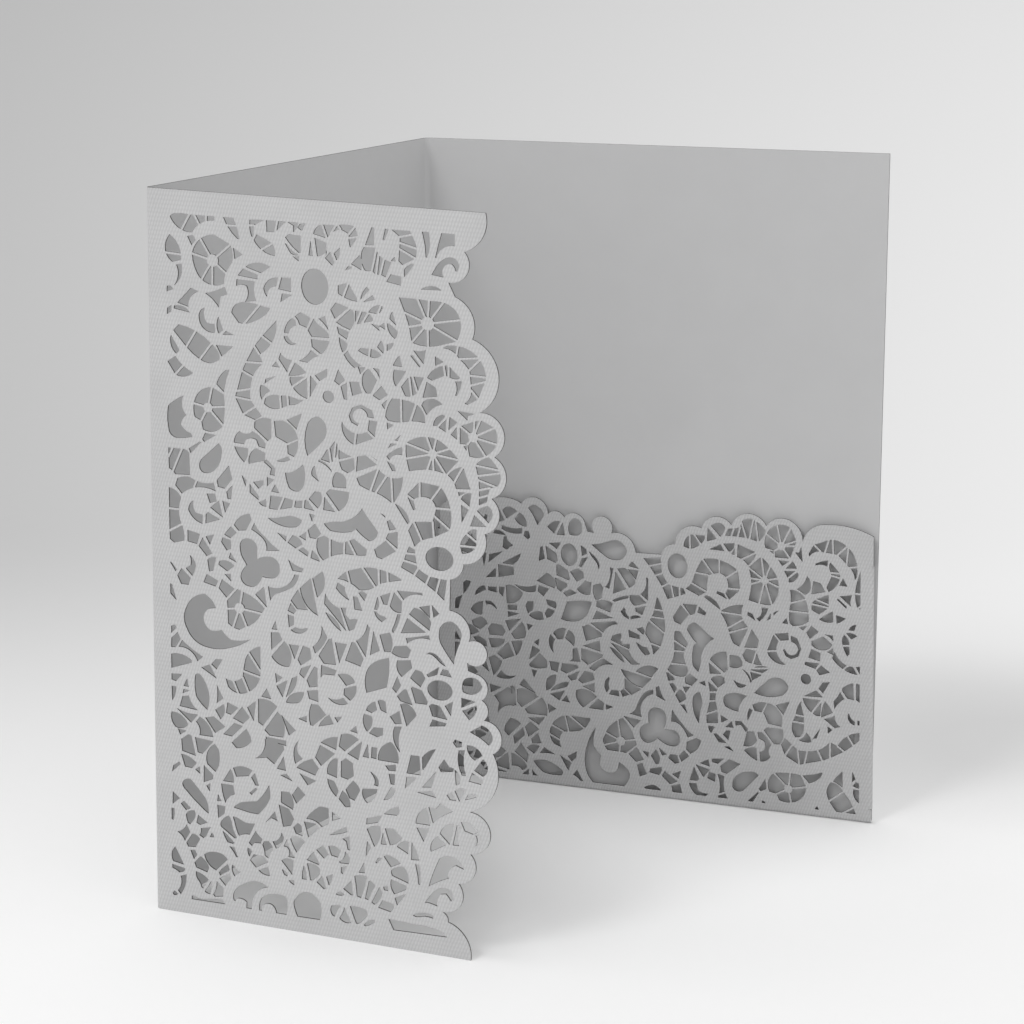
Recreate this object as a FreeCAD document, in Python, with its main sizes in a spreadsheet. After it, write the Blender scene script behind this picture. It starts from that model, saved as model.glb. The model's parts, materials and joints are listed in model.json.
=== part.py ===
import FreeCAD, Part
import math
import os

# A laser-cut pocket fold invitation, folded from one sheet of card and stood up in a zigzag.
# Left to right it is a lace flap, a plain middle panel and a pocket panel; a lace pocket is folded up
# from the foot of the pocket panel and taped to it by a tab at each side. Millimetres, +Z up, front -Y.
# The origin is under the middle of the standing card, on the surface it stands on.

doc = FreeCAD.newDocument("PocketFoldInvitation")
sheet = doc.addObject("Spreadsheet::Sheet", "Sizes")

SIZES = (
    # the sheet and its panels
    ("paper_thickness", 0.4),
    ("card_height", 178.0),
    ("flap_width", 85.1),
    ("flap_drop", 2.0),
    ("middle_width", 127.5),
    ("pocket_panel_width", 125.0),
    # where the left fold stands, the way each panel runs from its fold (degrees from +X), the folds' radii
    ("left_fold_x", -93.89),
    ("left_fold_y", -33.34),
    ("flap_angle", -25.0),
    ("middle_angle", 55.7),
    ("pocket_panel_angle", -22.4),
    ("left_fold_radius", 1.0),
    ("back_fold_radius", 2.0),
    # plain margins left round the lace; the flap's first three stretch with it
    ("fold_margin", 5.0),
    ("top_margin", 5.6),
    ("foot_margin", 4.2),
    ("pocket_foot_margin", 2.3),
    ("pocket_near_margin", 5.5),
    ("pocket_side_margin", 3.4),
    # the pocket: its ends along the pocket panel, its tabs and the tape behind them
    ("pocket_start", 4.0),
    ("pocket_end", 124.1),
    ("pocket_height", 80.2),
    ("pocket_corner_height", 78.0),
    ("tape_thickness", 0.2),
    ("tab_clearance", 0.2),
    ("tab_width", 4.0),
    ("tab_foot", 4.0),
    ("tab_height", 66.0),
    ("tape_width", 3.0),
    ("tape_length", 60.0),
)
for row, (name, size) in enumerate(SIZES, start=1):
    sheet.set("A%d" % row, name)
    sheet.set("B%d" % row, str(size))
    sheet.setAlias("B%d" % row, name)
doc.recompute()


def val(name):
    """A size of the sheet."""
    return float(sheet.get(name))


PAPER = val("paper_thickness")
# from the middle of the pocket panel's thickness to the middle of the tab's, and of the pocket's
TAB_OFFSET = PAPER + val("tape_thickness")
POCKET_OFFSET = TAB_OFFSET + PAPER + val("tab_clearance")

# ---------------------------------------------------------------------------------------------------------
# The lace, drawn for a flap 85.1 wide and 178 high: x from the fold, y from the foot. It is scrollwork of
# leaves, spirals and fans with open cells between the paper bars. Each cell is a closed outline of (x, y);
# a third number is the height of the arc to the next point, positive where it bulges out of the cell.
# A band is a long cell given as rungs (x, y, x, y) from one of its rails to the other.

FREE_EDGE = (
    (82.4, 0, 1.9), (76.7, 8.6, 0.45), (75.3, 10.9, 2.9), (79.3, 18.5, 2.7), (82.2, 26.2, 5), (82, 36.5, 3.7),
    (87.6, 51.4, 3.2), (85.3, 59.2, 1.3), (84.8, 64, 2.1), (83.4, 70.1), (81.4, 70.7), (81.2, 72.6, 4.65),
    (81.6, 77.7, 2.1), (76.8, 84.6), (77, 92, 0.9), (80.2, 96, 2.4), (85.3, 103.7, 2.7), (86.9, 112.2, 3.2),
    (87.5, 122, 4.1), (84, 132, 5.4), (82.1, 148.8, 2.2), (77.9, 158.2), (76.3, 161.4, 2.9),
    (80.1, 168.7, 2.1), (85.1, 178),
)
LACE_WIDTH, LACE_HEIGHT = FREE_EDGE[-1]

BANDS = (
    # crown
    ((6.3, 171.6, 7.4, 172.3), (9.3, 168.6, 11.4, 172.3), (12.1, 168.2, 12, 172.3),
     (13.9, 170.2, 12.7, 172.3), (15.7, 171.1, 15.8, 172.3), (17.9, 171.4, 17.9, 172.3)),
    ((43.1, 170.1, 44.9, 172.3), (46.5, 169.3, 45.3, 172.4), (47.4, 170.4, 48.8, 172.5),
     (49.9, 171.7, 49.2, 172.6), (52, 171.1, 52.5, 172.6), (51.9, 170.3, 54.4, 172.6),
     (51.9, 169.8, 54.2, 170.2), (52.3, 167.6, 52.5, 167.9)),
    ((65.1, 164.6, 64.2, 165.4), (68.3, 166.3, 64.4, 168.2), (68.6, 168.6, 64.5, 169.6),
     (67.4, 171.7, 64.5, 171), (67, 172.5, 62.5, 172.5)),
    ((6.2, 167.3, 6.2, 167.3), (5.1, 165.4, 8.4, 165), (5.1, 162.9, 9.1, 162.7), (6.8, 160.8, 9, 161.4)),
    ((28, 167.5, 28.8, 168.9), (29.3, 165.8, 32.5, 167.6), (30.4, 164.9, 33.1, 166.7),
     (33.4, 164.2, 33.4, 165)),
    ((55.9, 162.6, 55.2, 167.1), (56.4, 162.5, 55.7, 168), (57.7, 162.8, 58.8, 168),
     (58.7, 161.9, 59.3, 166.5), (59.7, 161.9, 60.6, 165.6), (61, 161.4, 62.4, 165)),
    # shoulder
    ((22.1, 149.9, 22.8, 151.6), (23.9, 147.7, 23.4, 152.1), (25.3, 147.6, 29.3, 152.3),
     (28.6, 148.7, 30.6, 152), (32, 151.6, 32.1, 151.8)),
    ((6.8, 144.5, 8.3, 146), (9.3, 141, 12.4, 144.9), (11, 140.7, 13, 144.6), (13.4, 138.3, 16.3, 142.3),
     (14, 137.9, 17.2, 141.8), (16, 137.4, 18.6, 140.2), (18.8, 138.5, 18.9, 138.8)),
    ((75.1, 146.2, 75.2, 146.3), (78.3, 144.9, 78.6, 146.9), (79, 144, 83.6, 144.6),
     (81.4, 141.6, 83.9, 144.2), (81.6, 140.4, 85.4, 140.3), (81.8, 138.1, 85.3, 139.3),
     (81.8, 137.5, 83.6, 135.2), (81.9, 137, 83.6, 135.1), (80.3, 133.8, 81, 133.6)),
    ((5.2, 136.9, 7.3, 138.3), (6.1, 133.8, 9, 136.4), (8.3, 134, 9.6, 136), (11.8, 134.6, 11.9, 134.7)),
    ((33.6, 149, 33.6, 149), (29.9, 145, 32.3, 143.5), (27.9, 142.4, 29.2, 140.6),
     (25.7, 138.5, 30.1, 138.6), (24.7, 136.3, 27.4, 135.1), (23.3, 131.4, 26.8, 132.2),
     (22.8, 129.9, 26.9, 129.5), (24.9, 125.9, 28, 128), (27.9, 124.9, 29.7, 126)),
    ((36.9, 135.3, 37, 136), (37.6, 133.7, 41.3, 136.4), (41.3, 131.2, 41.4, 131.3)),
    ((55.9, 139, 56.9, 139.7), (55.1, 136.6, 58.9, 137.2), (56.2, 133.9, 57.3, 134)),
    ((64.8, 136.2, 65.8, 134.2), (66.8, 138.8, 67.4, 134.3), (67.6, 138.9, 68.8, 135.3),
     (70.4, 138.9, 69.4, 136.8)),
    ((30.6, 130.3, 30.3, 129), (33.7, 131.4, 31.9, 128.1), (34.4, 131.3, 34.6, 128.3),
     (36.3, 131.5, 36.5, 129.2), (39.5, 130.7, 38.2, 129.5), (40.5, 130.9, 40.5, 130.9)),
    ((60.9, 128.8, 61.5, 131.4), (61.6, 128, 62.6, 133.3), (64.9, 127.9, 64.8, 133.3),
     (67.1, 128.4, 68.5, 132.5), (70.7, 128.3, 70.7, 129.4)),
    # waist
    ((56.9, 127.6, 58.9, 127.5), (56.5, 124.9, 58.2, 123.5), (53.6, 124.1, 53.2, 121.4),
     (51.3, 125.1, 51, 122.9), (50.1, 126.6, 50, 125.5)),
    ((5.1, 115.2, 5.1, 116), (5.1, 113.8, 6.2, 116), (5.2, 111, 7.2, 116), (6.2, 110.4, 8.7, 116),
     (6.8, 109.7, 9.4, 116), (10.8, 109.9, 10.6, 115.2)),
    ((49.3, 119.9, 52.4, 118.6), (49.3, 117.3, 53, 118.5), (50, 115.2, 53.2, 116.2),
     (51.5, 114.5, 53.2, 115.6)),
    ((53.7, 113.6, 54.4, 112), (59.2, 116.4, 57.2, 110.9), (61.2, 114.8, 58.5, 110.6),
     (62.4, 114.5, 62.7, 108.4), (65.3, 115, 63.5, 109.4)),
    ((76.3, 116.6, 79.6, 118.9), (77.8, 115, 80, 119), (78.3, 113.6, 81.8, 113.9)),
    ((83.4, 120.1, 86.2, 121.8), (83, 119.6, 88.6, 119), (83.6, 117.2, 88.9, 118.4),
     (83.8, 116.2, 88, 115), (83.9, 113.9, 86.6, 114.7), (83.9, 112.1, 86, 112.9),
     (83.9, 110.4, 85.8, 111.3)),
    ((6.8, 107, 7.4, 108.7), (8.5, 105.1, 10.8, 109.3), (11.7, 106.9, 12.4, 108.6),
     (17.5, 106.6, 17, 108.6)),
    ((31.4, 103.9, 31.8, 107.1), (33.9, 103.9, 35.2, 107), (37.6, 104.9, 37.9, 106.5),
     (40.1, 105, 40.3, 106.8), (43, 104.6, 41.1, 107.1)),
    ((68.4, 107.8, 67.8, 107.5), (67.8, 109.9, 66.2, 110.9), (69.4, 110.8, 69.4, 114.3),
     (72.3, 110.4, 74.6, 113.7), (73.4, 108.5, 77, 108.6), (73, 106.6, 76.8, 103.7),
     (72.6, 105.2, 72.9, 101.6), (67.9, 104.7, 69.9, 100.5), (66.6, 102.5, 68.2, 98.8)),
    ((82.5, 104.5, 83.3, 104.5), (80.9, 103.3, 83.3, 101.6), (79.3, 100.3, 83.2, 100.3),
     (79.8, 98.5, 81.3, 98.8)),
    # hip
    ((5.1, 106.3, 5.2, 106.3), (5.1, 103.9, 8.3, 104), (5.1, 101.2, 7.7, 101.2), (5.1, 97.8, 8.2, 98),
     (5.1, 95.7, 8.4, 97.6), (5.2, 93.6, 9, 95.5), (6.3, 92.9, 9, 93.7)),
    ((43.7, 95, 43.9, 98.2), (45.2, 92.9, 45.5, 98.9), (46.9, 94, 46.9, 98.3), (50.5, 95.1, 50.6, 97.8),
     (53.4, 95.1, 51.6, 98.3), (55.8, 95.3, 53, 99), (56.1, 95.4, 56.2, 96.8)),
    ((48.9, 88.9, 49.3, 89.3), (51.9, 88.3, 51.2, 91), (54.3, 86.8, 54, 91.9), (58.3, 88, 55.1, 92.3),
     (59.3, 88.8, 59.2, 92.4), (61.5, 89.6, 61.4, 92), (64.9, 90.4, 64.9, 90.6)),
    ((66.8, 98.7, 68.2, 98.1), (66.1, 97, 68.3, 97), (65.5, 95.2, 68.7, 94.6), (64.8, 93.5, 68.8, 93.9),
     (68.1, 92, 69.1, 93.7), (71, 90.2, 71.8, 92.1), (73.5, 88.5, 74.4, 91.8), (75.5, 86.8, 76.1, 91.7)),
    # knee
    ((19.6, 60.9, 20.2, 58.9), (21.6, 60.5, 22.9, 57.6), (24.1, 61.7, 25.6, 58.3),
     (24.3, 63.3, 28.7, 62.3), (25.7, 68, 28.8, 63.7), (28.7, 69.9, 28.8, 69.8)),
)
CELLS = (
    # crown
    ((40, 157.8, 1.1), (43.4, 153.6, 1.1), (46.9, 157.8, 1.1), (43.4, 162, 1.1)),
    # waist
    ((9.3, 129), (5.2, 126.2), (5.2, 120.6, 0.7), (7.8, 118.6), (11.5, 119.2), (11.2, 120, -0.4),
     (8.5, 122, -0.3), (10, 124.3), (9.1, 125.6)),
    ((27.7, 122.9), (31.2, 120.1), (32.1, 121), (32.1, 125.4), (30.5, 125.6), (27.8, 124.4)),
    ((32.8, 125.1), (33.2, 121.4), (36.1, 120.1), (38.9, 121.4), (38.6, 122.5), (35, 125.4)),
    ((41.3, 117.6), (45.3, 121.6, 0.3), (46.2, 124.6, 0.5), (44, 127.2, 0.5), (41.3, 125)),
    ((18.4, 118.3), (14.2, 114.4, 0.4), (13.3, 111.9, 0.4), (15, 110.8, 0.4), (17.9, 112.4, 0.3),
     (19.1, 115.8), (19, 117.6)),
    ((22.4, 118.9, 0.4), (23.9, 121.8), (25.4, 121.3), (27.3, 122.1, 0.3), (30.6, 119.5), (30.5, 118.3),
     (28.8, 118.6), (28.2, 120.1, -0.4), (25.6, 119.9), (25.1, 118.8)),
    ((35.6, 113), (36.6, 109.4, 0.4), (39.3, 109), (40.5, 111), (40.2, 115.4), (37, 113.2)),
    ((46, 109.2), (49.2, 105.2), (50.9, 106.7), (51.8, 110), (47, 110.2)),
    ((31, 101.6), (36.5, 102.7), (39.8, 102, 0.4), (38, 100.1), (34.5, 100.1)),
    ((45.4, 101.8), (50, 102.7), (52.8, 104), (55.1, 106.5), (57.3, 103.5), (59, 101.2, 0.6), (56.8, 98.9),
     (53.5, 101.4), (52.4, 100.6, 0.3), (47, 100.3)),
    # hip
    ((70.9, 96.6, 0.9), (74.3, 93.8, 0.9), (77.7, 96.6, 0.9), (74.3, 99.4, 0.9)),
    ((24.9, 90.3, 0.3), (23.7, 93.5, 0.8), (25.8, 96, 0.8), (28.2, 93.6), (28.2, 91.2, 0.3),
     (31.6, 92.2, 0.7), (34, 89.7, 0.8), (31.8, 87), (29.4, 87.1), (28.7, 85.6, 0.5), (25.9, 84.4, 0.6),
     (23.8, 86.6, 0.3), (25.4, 89.4)),
    ((30.9, 85), (31.5, 81.5), (33.3, 83.5), (37.2, 85.4, 0.3), (39, 88.6), (37.8, 88.6), (36, 85.9),
     (34, 84.9)),
    ((39.2, 85.5), (42, 80.3), (43.8, 79.3), (42, 88.2)),
    ((45.7, 85), (45.4, 82.4), (51, 76.4), (49.3, 81.8), (46.8, 83.2)),
    ((77.9, 71.8), (74.6, 76.4, 0.3), (74.4, 80, 0.5), (77.2, 82, 0.5), (79.8, 79.3), (79.3, 76.9)),
    ((17.2, 78, 0.5), (14.2, 81.1, 0.9), (9.3, 77.2, 0.7), (9.4, 72, 0.8), (14.2, 68.1, 0.5),
     (21, 68.7, 0.3), (26.3, 71.4, -0.3), (21.2, 70.6), (18.7, 72.8), (15.8, 72.3, -0.5),
     (13.9, 75.2, -0.6), (16, 77.8)),
    # knee
    ((31.7, 67.9), (34, 66), (36.3, 65.9), (36.9, 67.8), (35.1, 72)),
    ((43.9, 69.6), (45.2, 67.8), (48.4, 67.9), (47.3, 74.2), (46.6, 74)),
    ((50.7, 69.3), (54.6, 68.3), (55.4, 70.2), (53.3, 73.9), (52.4, 74)),
    ((56.1, 62.1), (61.2, 64.1, 0.3), (61.8, 71.3), (57.8, 69.6, 0.3), (55.9, 66.5)),
    ((80.1, 65.5), (83, 65.3, 0.3), (84.9, 67.2, 0.8), (81.8, 69.1, 0.5), (80, 67.2)),
    ((71.4, 65, 0.8), (74.3, 62.6, 0.8), (77.6, 65.2, 0.8), (74.6, 67.5, 0.8)),
    ((11.5, 60.8, 0.3), (11.7, 55.3), (14.6, 52.4, 0.3), (15.1, 56.5, 0.3), (13.2, 60.6), (12.2, 61.2)),
    ((28.1, 56.9), (28.1, 51.1), (29.3, 50.4), (33.1, 55.6), (31.2, 56.8)),
    ((29.7, 49.4), (31, 48.2), (34.6, 48.2), (34.9, 49), (33.2, 54.4)),
    ((41.4, 55.5), (41.7, 52.2), (42.4, 52.2), (45.8, 55.3), (43.8, 57.5), (42, 57.5)),
    ((59, 46), (64.1, 45.9), (64.2, 47.4), (62.3, 50.9), (60, 49.4)),
    # hem
    ((7.5, 44.2), (7.7, 41.2), (11.4, 40.4), (10.2, 45.4), (9.4, 45.6)),
    ((14.2, 40.8), (14.4, 38.8), (16.6, 37.1), (17.7, 39.8), (17.6, 42.5), (16.5, 44.1)),
    ((21, 45.1), (22.2, 43.9, 0.5), (26.2, 46, 0.3), (24.9, 49)),
    ((29.8, 47.2), (29.4, 44.3), (27.2, 42), (30.2, 42.6), (32.2, 41.2), (34.9, 45.3), (34.6, 46.2)),
    ((42.9, 44.4), (44.4, 42.5), (48, 46), (44.2, 47.7)),
    ((49.5, 40.5), (51.3, 40.1), (52.8, 41.2), (52.6, 44.3), (50.8, 45.3), (49.6, 44.4)),
    ((7.6, 32.9, 0.6), (9.9, 34.3), (13.9, 30, 0.3), (14.6, 26.3), (12.1, 28.2), (8.7, 31.3)),
    ((21.1, 26.6), (22.7, 22), (25.4, 22.8), (27.1, 25.4), (24.6, 25.2)),
    ((21.4, 28.8), (23.4, 30.4), (27.4, 31.2, -0.3), (30.8, 35.8), (31.1, 32.6, 0.3), (27.9, 28.1),
     (24.5, 28.3)),
    ((33.3, 31.3), (34.4, 25.9), (36.5, 26.5), (37.3, 28.2), (36, 30.6)),
    ((40.5, 28.8, 0.3), (44, 32.3), (46.3, 32.2), (46.4, 28.5), (44.5, 27.3), (43, 28.4)),
    ((71.8, 16.7), (74.6, 24.1, 1.6), (80.6, 22.2), (78.6, 22.9, -0.4), (76.5, 20.4), (76.9, 19.5)),
)
# round openings with a spiral inside
WHEELS = (
    # crown
    ((14.2, 166.8), (12, 163.2), (12.6, 160), (14.4, 157.2), (17.2, 156.1), (20.2, 156.6), (20.7, 159.2),
     (22.4, 162), (22, 166), (17.8, 168)),
    # shoulder
    ((68.8, 157), (64.3, 157), (65.7, 153.6), (66.8, 150.4), (67.4, 146.8), (71.4, 146.2), (74.8, 146.9),
     (78.4, 148.1), (79.3, 151), (79.2, 153), (77.6, 155.5), (75.1, 156.7), (71.6, 156.8)),
    # waist
    ((16.8, 131.7), (13.5, 130.3), (12, 127.4), (12.2, 124.1), (13.9, 123.4), (14.3, 121.3), (17, 121),
     (19.6, 122.7), (20.1, 127.3), (19.9, 130.2)),
    ((79.2, 128.4), (82.7, 129.8), (84.1, 130.3), (87.5, 128.8), (88, 125), (87.4, 123.8), (85.3, 122),
     (81.5, 121.6), (81, 124.3), (79.2, 124.3)),
    ((66.1, 119.5), (66, 123.1), (68.3, 124.5), (71.1, 125.1), (73.4, 124.8), (76.6, 122.8), (79, 120.4),
     (75.7, 116.7), (74.3, 117.2), (72.8, 117.4), (71.3, 117.5), (69.2, 117.2), (66.8, 116.6)),
    # hip
    ((20.2, 80.2), (22.9, 83.3), (24.2, 82.9), (26.2, 82.2), (30, 79.4), (29.2, 78), (26, 74.7),
     (25.2, 74.4), (23.4, 73.4), (21.7, 73.8), (20.4, 74.6), (20.3, 78.2)),
)
# the slot under the top corner's lobe, which the foot doesn't have
CORNER_SLOT = (
    (73.1, 166.9, 73.4, 166.9), (73.8, 169.8, 75.3, 169.4), (74.6, 172.6, 77.8, 169.9),
    (74.7, 172.6, 77.8, 172.6),
)

# the pattern's crown comes again at the foot of the flap, this far from where it is at the top
FOOT_REPEAT = (-1.8, -150.8)
CROWN_FLOOR = 154.0
# the pocket's lace is the flap's turned through a quarter and drawn in to fit: how far along the pocket
# and how far up from the pocket's top a point lies, as (from x, from y, and from where the lace starts)
TURNED_ALONG = (-0.042, 0.955, -17.0)
TURNED_UP = (0.995, -0.006, -88.0)
# the free edge's point where the last lobe of the pocket's rim starts
LAST_LOBE = FREE_EDGE.index((84, 132, 5.4))


def band_outline(rungs):
    """The closed outline of a band: up one rail and back down the other."""
    return [rung[:2] for rung in rungs] + [rung[2:4] for rung in reversed(rungs)]


def shifted(outline, move):
    return [(p[0] + move[0], p[1] + move[1]) + tuple(p[2:]) for p in outline]


def lace_cells():
    """Every cell of the flap's lace, with the crown's repeat at the foot."""
    cells = [list(cell) for cell in CELLS + WHEELS] + [band_outline(band) for band in BANDS]
    crown = [cell for cell in cells if sum(p[1] for p in cell) / len(cell) > CROWN_FLOOR]
    return cells + [band_outline(CORNER_SLOT)] + [shifted(cell, FOOT_REPEAT) for cell in crown]


def signed_area(points):
    ring = list(points) + [points[0]]
    return 0.5 * sum(a[0] * b[1] - b[0] * a[1] for a, b in zip(ring, ring[1:]))


def edge_list(points, place, closed=True):
    """Lines and arcs through the points, each put where place(x, y) says."""
    outward = -1.0 if closed and signed_area(points) < 0 else 1.0
    ends = list(points[1:]) + ([points[0]] if closed else [])
    edges = []
    for start, end in zip(points, ends):
        run, rise = end[0] - start[0], end[1] - start[1]
        length = math.hypot(run, rise)
        if length < 0.02:
            continue
        first, last = place(start[0], start[1]), place(end[0], end[1])
        bulge = outward * start[2] / length if len(start) > 2 else 0.0
        if bulge:
            middle = place(
                (start[0] + end[0]) / 2 + rise * bulge,
                (start[1] + end[1]) / 2 - run * bulge,
            )
            edges.append(Part.Arc(first, middle, last).toShape())
        else:
            edges.append(Part.makeLine(first, last))
    return edges


def face_of(points, place):
    return Part.Face(Part.Wire(Part.sortEdges(edge_list(points, place))[0]))


def rectangle(x0, y0, x1, y1):
    """An upright rectangular face in a panel's own plane."""
    return Part.Face(Part.makePolygon([
        FreeCAD.Vector(x0, 0, y0), FreeCAD.Vector(x1, 0, y0), FreeCAD.Vector(x1, 0, y1),
        FreeCAD.Vector(x0, 0, y1), FreeCAD.Vector(x0, 0, y0),
    ]))


def on_flap(x, y):
    """A point of the lace in the flap's plane, where the free side hangs a little low."""
    x *= val("flap_width") / LACE_WIDTH
    y *= val("card_height") / LACE_HEIGHT
    drop = val("flap_drop") * x / val("flap_width") * y / val("card_height")
    return FreeCAD.Vector(x, 0, y - drop)


def on_pocket(x, y):
    """A point of the lace in the pocket's plane, where the lace follows the pocket's top."""
    along, up = (turn[0] * x + turn[1] * y + turn[2] for turn in (TURNED_ALONG, TURNED_UP))
    return FreeCAD.Vector(along, 0, val("pocket_height") + up)


def blank(place):
    """The lace's whole field with its scalloped free edge and no cells cut."""
    edges = edge_list(FREE_EDGE, place, closed=False)
    corners = [place(LACE_WIDTH, LACE_HEIGHT), place(0, LACE_HEIGHT), place(0, 0), place(*FREE_EDGE[0][:2])]
    edges += [Part.makeLine(a, b) for a, b in zip(corners, corners[1:])]
    return Part.Face(Part.Wire(Part.sortEdges(edges)[0]))


def pierced(field, place, window):
    """The field with the cells that lie in the window cut out of it."""
    openings = []
    for cell in lace_cells():
        opening = face_of(cell, place).common(window)
        openings += [face for face in opening.Faces if face.Area > 3.0]
    cut = field.cut(openings)
    return max(cut.Faces, key=lambda face: face.Area)


def thickened(face, depth):
    """A panel of paper with the face through the middle of its thickness, set depth in front."""
    moved = face.copy()
    moved.translate(FreeCAD.Vector(0, -depth - PAPER / 2, 0))
    return moved.extrude(FreeCAD.Vector(0, PAPER, 0))


def heading(angle):
    return FreeCAD.Vector(math.cos(math.radians(angle)), math.sin(math.radians(angle)), 0)


# Each panel has its own frame: x along it from its fold, -y out of its front, z up.
LEFT_FOLD = FreeCAD.Vector(val("left_fold_x"), val("left_fold_y"), 0)
BACK_FOLD = LEFT_FOLD + heading(val("middle_angle")) * val("middle_width")
UP = FreeCAD.Vector(0, 0, 1)
FLAP_FRAME = FreeCAD.Placement(LEFT_FOLD, FreeCAD.Rotation(UP, val("flap_angle")))
MIDDLE_FRAME = FreeCAD.Placement(LEFT_FOLD, FreeCAD.Rotation(UP, val("middle_angle")))
POCKET_FRAME = FreeCAD.Placement(BACK_FOLD, FreeCAD.Rotation(UP, val("pocket_panel_angle")))


def add_box(name, label, frame, corner, sizes):
    """A Part::Box whose three sizes are expressions of the sheet."""
    box = doc.addObject("Part::Box", name)
    box.Label = label
    for side, expression in zip(("Length", "Width", "Height"), sizes):
        box.setExpression(side, expression)
    box.Placement = frame.multiply(FreeCAD.Placement(FreeCAD.Vector(*corner), FreeCAD.Rotation()))
    return box


def add_bend(name, label, placement, sweep, radius, height):
    """A bend of the paper: a turned sector between two cylinders, radius at the paper's middle."""
    skins = []
    for skin, sign in (("Outer", "+"), ("Inner", "-")):
        cylinder = doc.addObject("Part::Cylinder", name + skin)
        cylinder.Label = "%s %s skin" % (label, skin.lower())
        cylinder.setExpression("Radius", "%s %s Sizes.paper_thickness / 2" % (radius, sign))
        cylinder.setExpression("Height", height)
        cylinder.setExpression("Angle", sweep)
        cylinder.Placement = placement
        skins.append(cylinder)
    bend = doc.addObject("Part::Cut", name)
    bend.Label = label
    bend.Base, bend.Tool = skins
    return bend


def fold_setback(angle_between, radius):
    """How far from the corner of two panels their bend begins."""
    return radius / math.tan(math.radians(angle_between / 2))


def fold_place(corner, angle_a, angle_b, radius):
    """The axis of the fold between panels that run at two angles, turned to begin square to the first."""
    inward = heading(angle_a) + heading(angle_b)
    inward.normalize()
    reach = radius / math.sin(math.radians(abs(angle_b - angle_a) / 2))
    return FreeCAD.Placement(corner + inward * reach, FreeCAD.Rotation(UP, angle_a + 90))


LEFT_ANGLE = val("middle_angle") - val("flap_angle")
BACK_ANGLE = 180 - val("middle_angle") + val("pocket_panel_angle")
LEFT_SETBACK = fold_setback(LEFT_ANGLE, val("left_fold_radius"))
BACK_SETBACK = fold_setback(BACK_ANGLE, val("back_fold_radius"))
LEFT_FOLD_PLACE = fold_place(LEFT_FOLD, val("middle_angle"), val("flap_angle"), val("left_fold_radius"))
BACK_FOLD_PLACE = fold_place(BACK_FOLD, val("pocket_panel_angle"), val("middle_angle") - 180,
                             val("back_fold_radius"))
HEM_RADIUS = POCKET_OFFSET / 2
HEM_RISE = HEM_RADIUS + PAPER / 2
TAB_RADIUS = (POCKET_OFFSET - TAB_OFFSET) / 2
TAB_RISE = TAB_RADIUS + PAPER / 2
HEM_PLACE = POCKET_FRAME.multiply(FreeCAD.Placement(
    FreeCAD.Vector(val("pocket_start"), -HEM_RADIUS, HEM_RISE),
    FreeCAD.Rotation(FreeCAD.Vector(0, -1, 0), FreeCAD.Vector(0, 0, -1), FreeCAD.Vector(1, 0, 0), "ZXY"),
))


def add_lace(name, label, frame, shape):
    """A pierced panel of the sheet, which no pad or primitive makes as plainly."""
    panel = doc.addObject("Part::Feature", name)
    panel.Label = label
    panel.Shape = shape
    panel.Placement = frame
    return panel


def flap_lace_shape():
    """The flap from where its fold ends, with the lace inside its plain margins."""
    near, far = val("fold_margin"), LACE_WIDTH + 10
    low, high = val("foot_margin"), LACE_HEIGHT - val("top_margin")
    window = face_of(((near, low), (far, low), (far, high), (near, high)), on_flap)
    far = 2 * val("flap_width")
    field = blank(on_flap).common(rectangle(LEFT_SETBACK, 0, far, val("card_height")))
    return thickened(pierced(field, on_flap, window), 0)


def pocket_blank():
    """The pocket's whole field: its scalloped rim, whose last lobe runs out to the top right corner."""
    end, foot = val("pocket_end"), -10
    rim = edge_list(FREE_EDGE[:LAST_LOBE + 1], on_pocket, closed=False)
    valley, start = on_pocket(*FREE_EDGE[LAST_LOBE][:2]), on_pocket(*FREE_EDGE[0][:2])
    lobe = ((valley.x, valley.z, -1.5), ((2 * valley.x + end) / 3, val("pocket_height"), -0.9),
            (end, val("pocket_corner_height")))
    rim += edge_list(lobe, lambda x, y: FreeCAD.Vector(x, 0, y), closed=False)
    corners = [FreeCAD.Vector(end, 0, val("pocket_corner_height")), FreeCAD.Vector(end, 0, foot),
               FreeCAD.Vector(start.x, 0, foot), start]
    rim += [Part.makeLine(a, b) for a, b in zip(corners, corners[1:])]
    return Part.Face(Part.Wire(Part.sortEdges(rim)[0]))


def pocket_lace_shape():
    """The pocket from its hem up to its rim and from tab to tab, with the lace inside its plain margins."""
    start, fold, above = val("pocket_start"), val("pocket_end") - TAB_RISE, 2 * val("pocket_height")
    window = rectangle(start + val("pocket_near_margin"), val("pocket_foot_margin"),
                       val("pocket_end") - val("pocket_side_margin"), above)
    field = pocket_blank().common(rectangle(start + TAB_RISE, HEM_RISE, fold, above))
    return thickened(pierced(field, on_pocket, window), POCKET_OFFSET)


def pocket_corner_shape():
    """The narrow strip above the right tab's bend, up to the pocket's top right corner."""
    tab_top = val("tab_foot") + val("tab_height")
    strip = rectangle(val("pocket_end") - TAB_RISE, tab_top, val("pocket_end"), 2 * val("pocket_height"))
    return thickened(pocket_blank().common(strip).Faces[0], POCKET_OFFSET)


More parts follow.
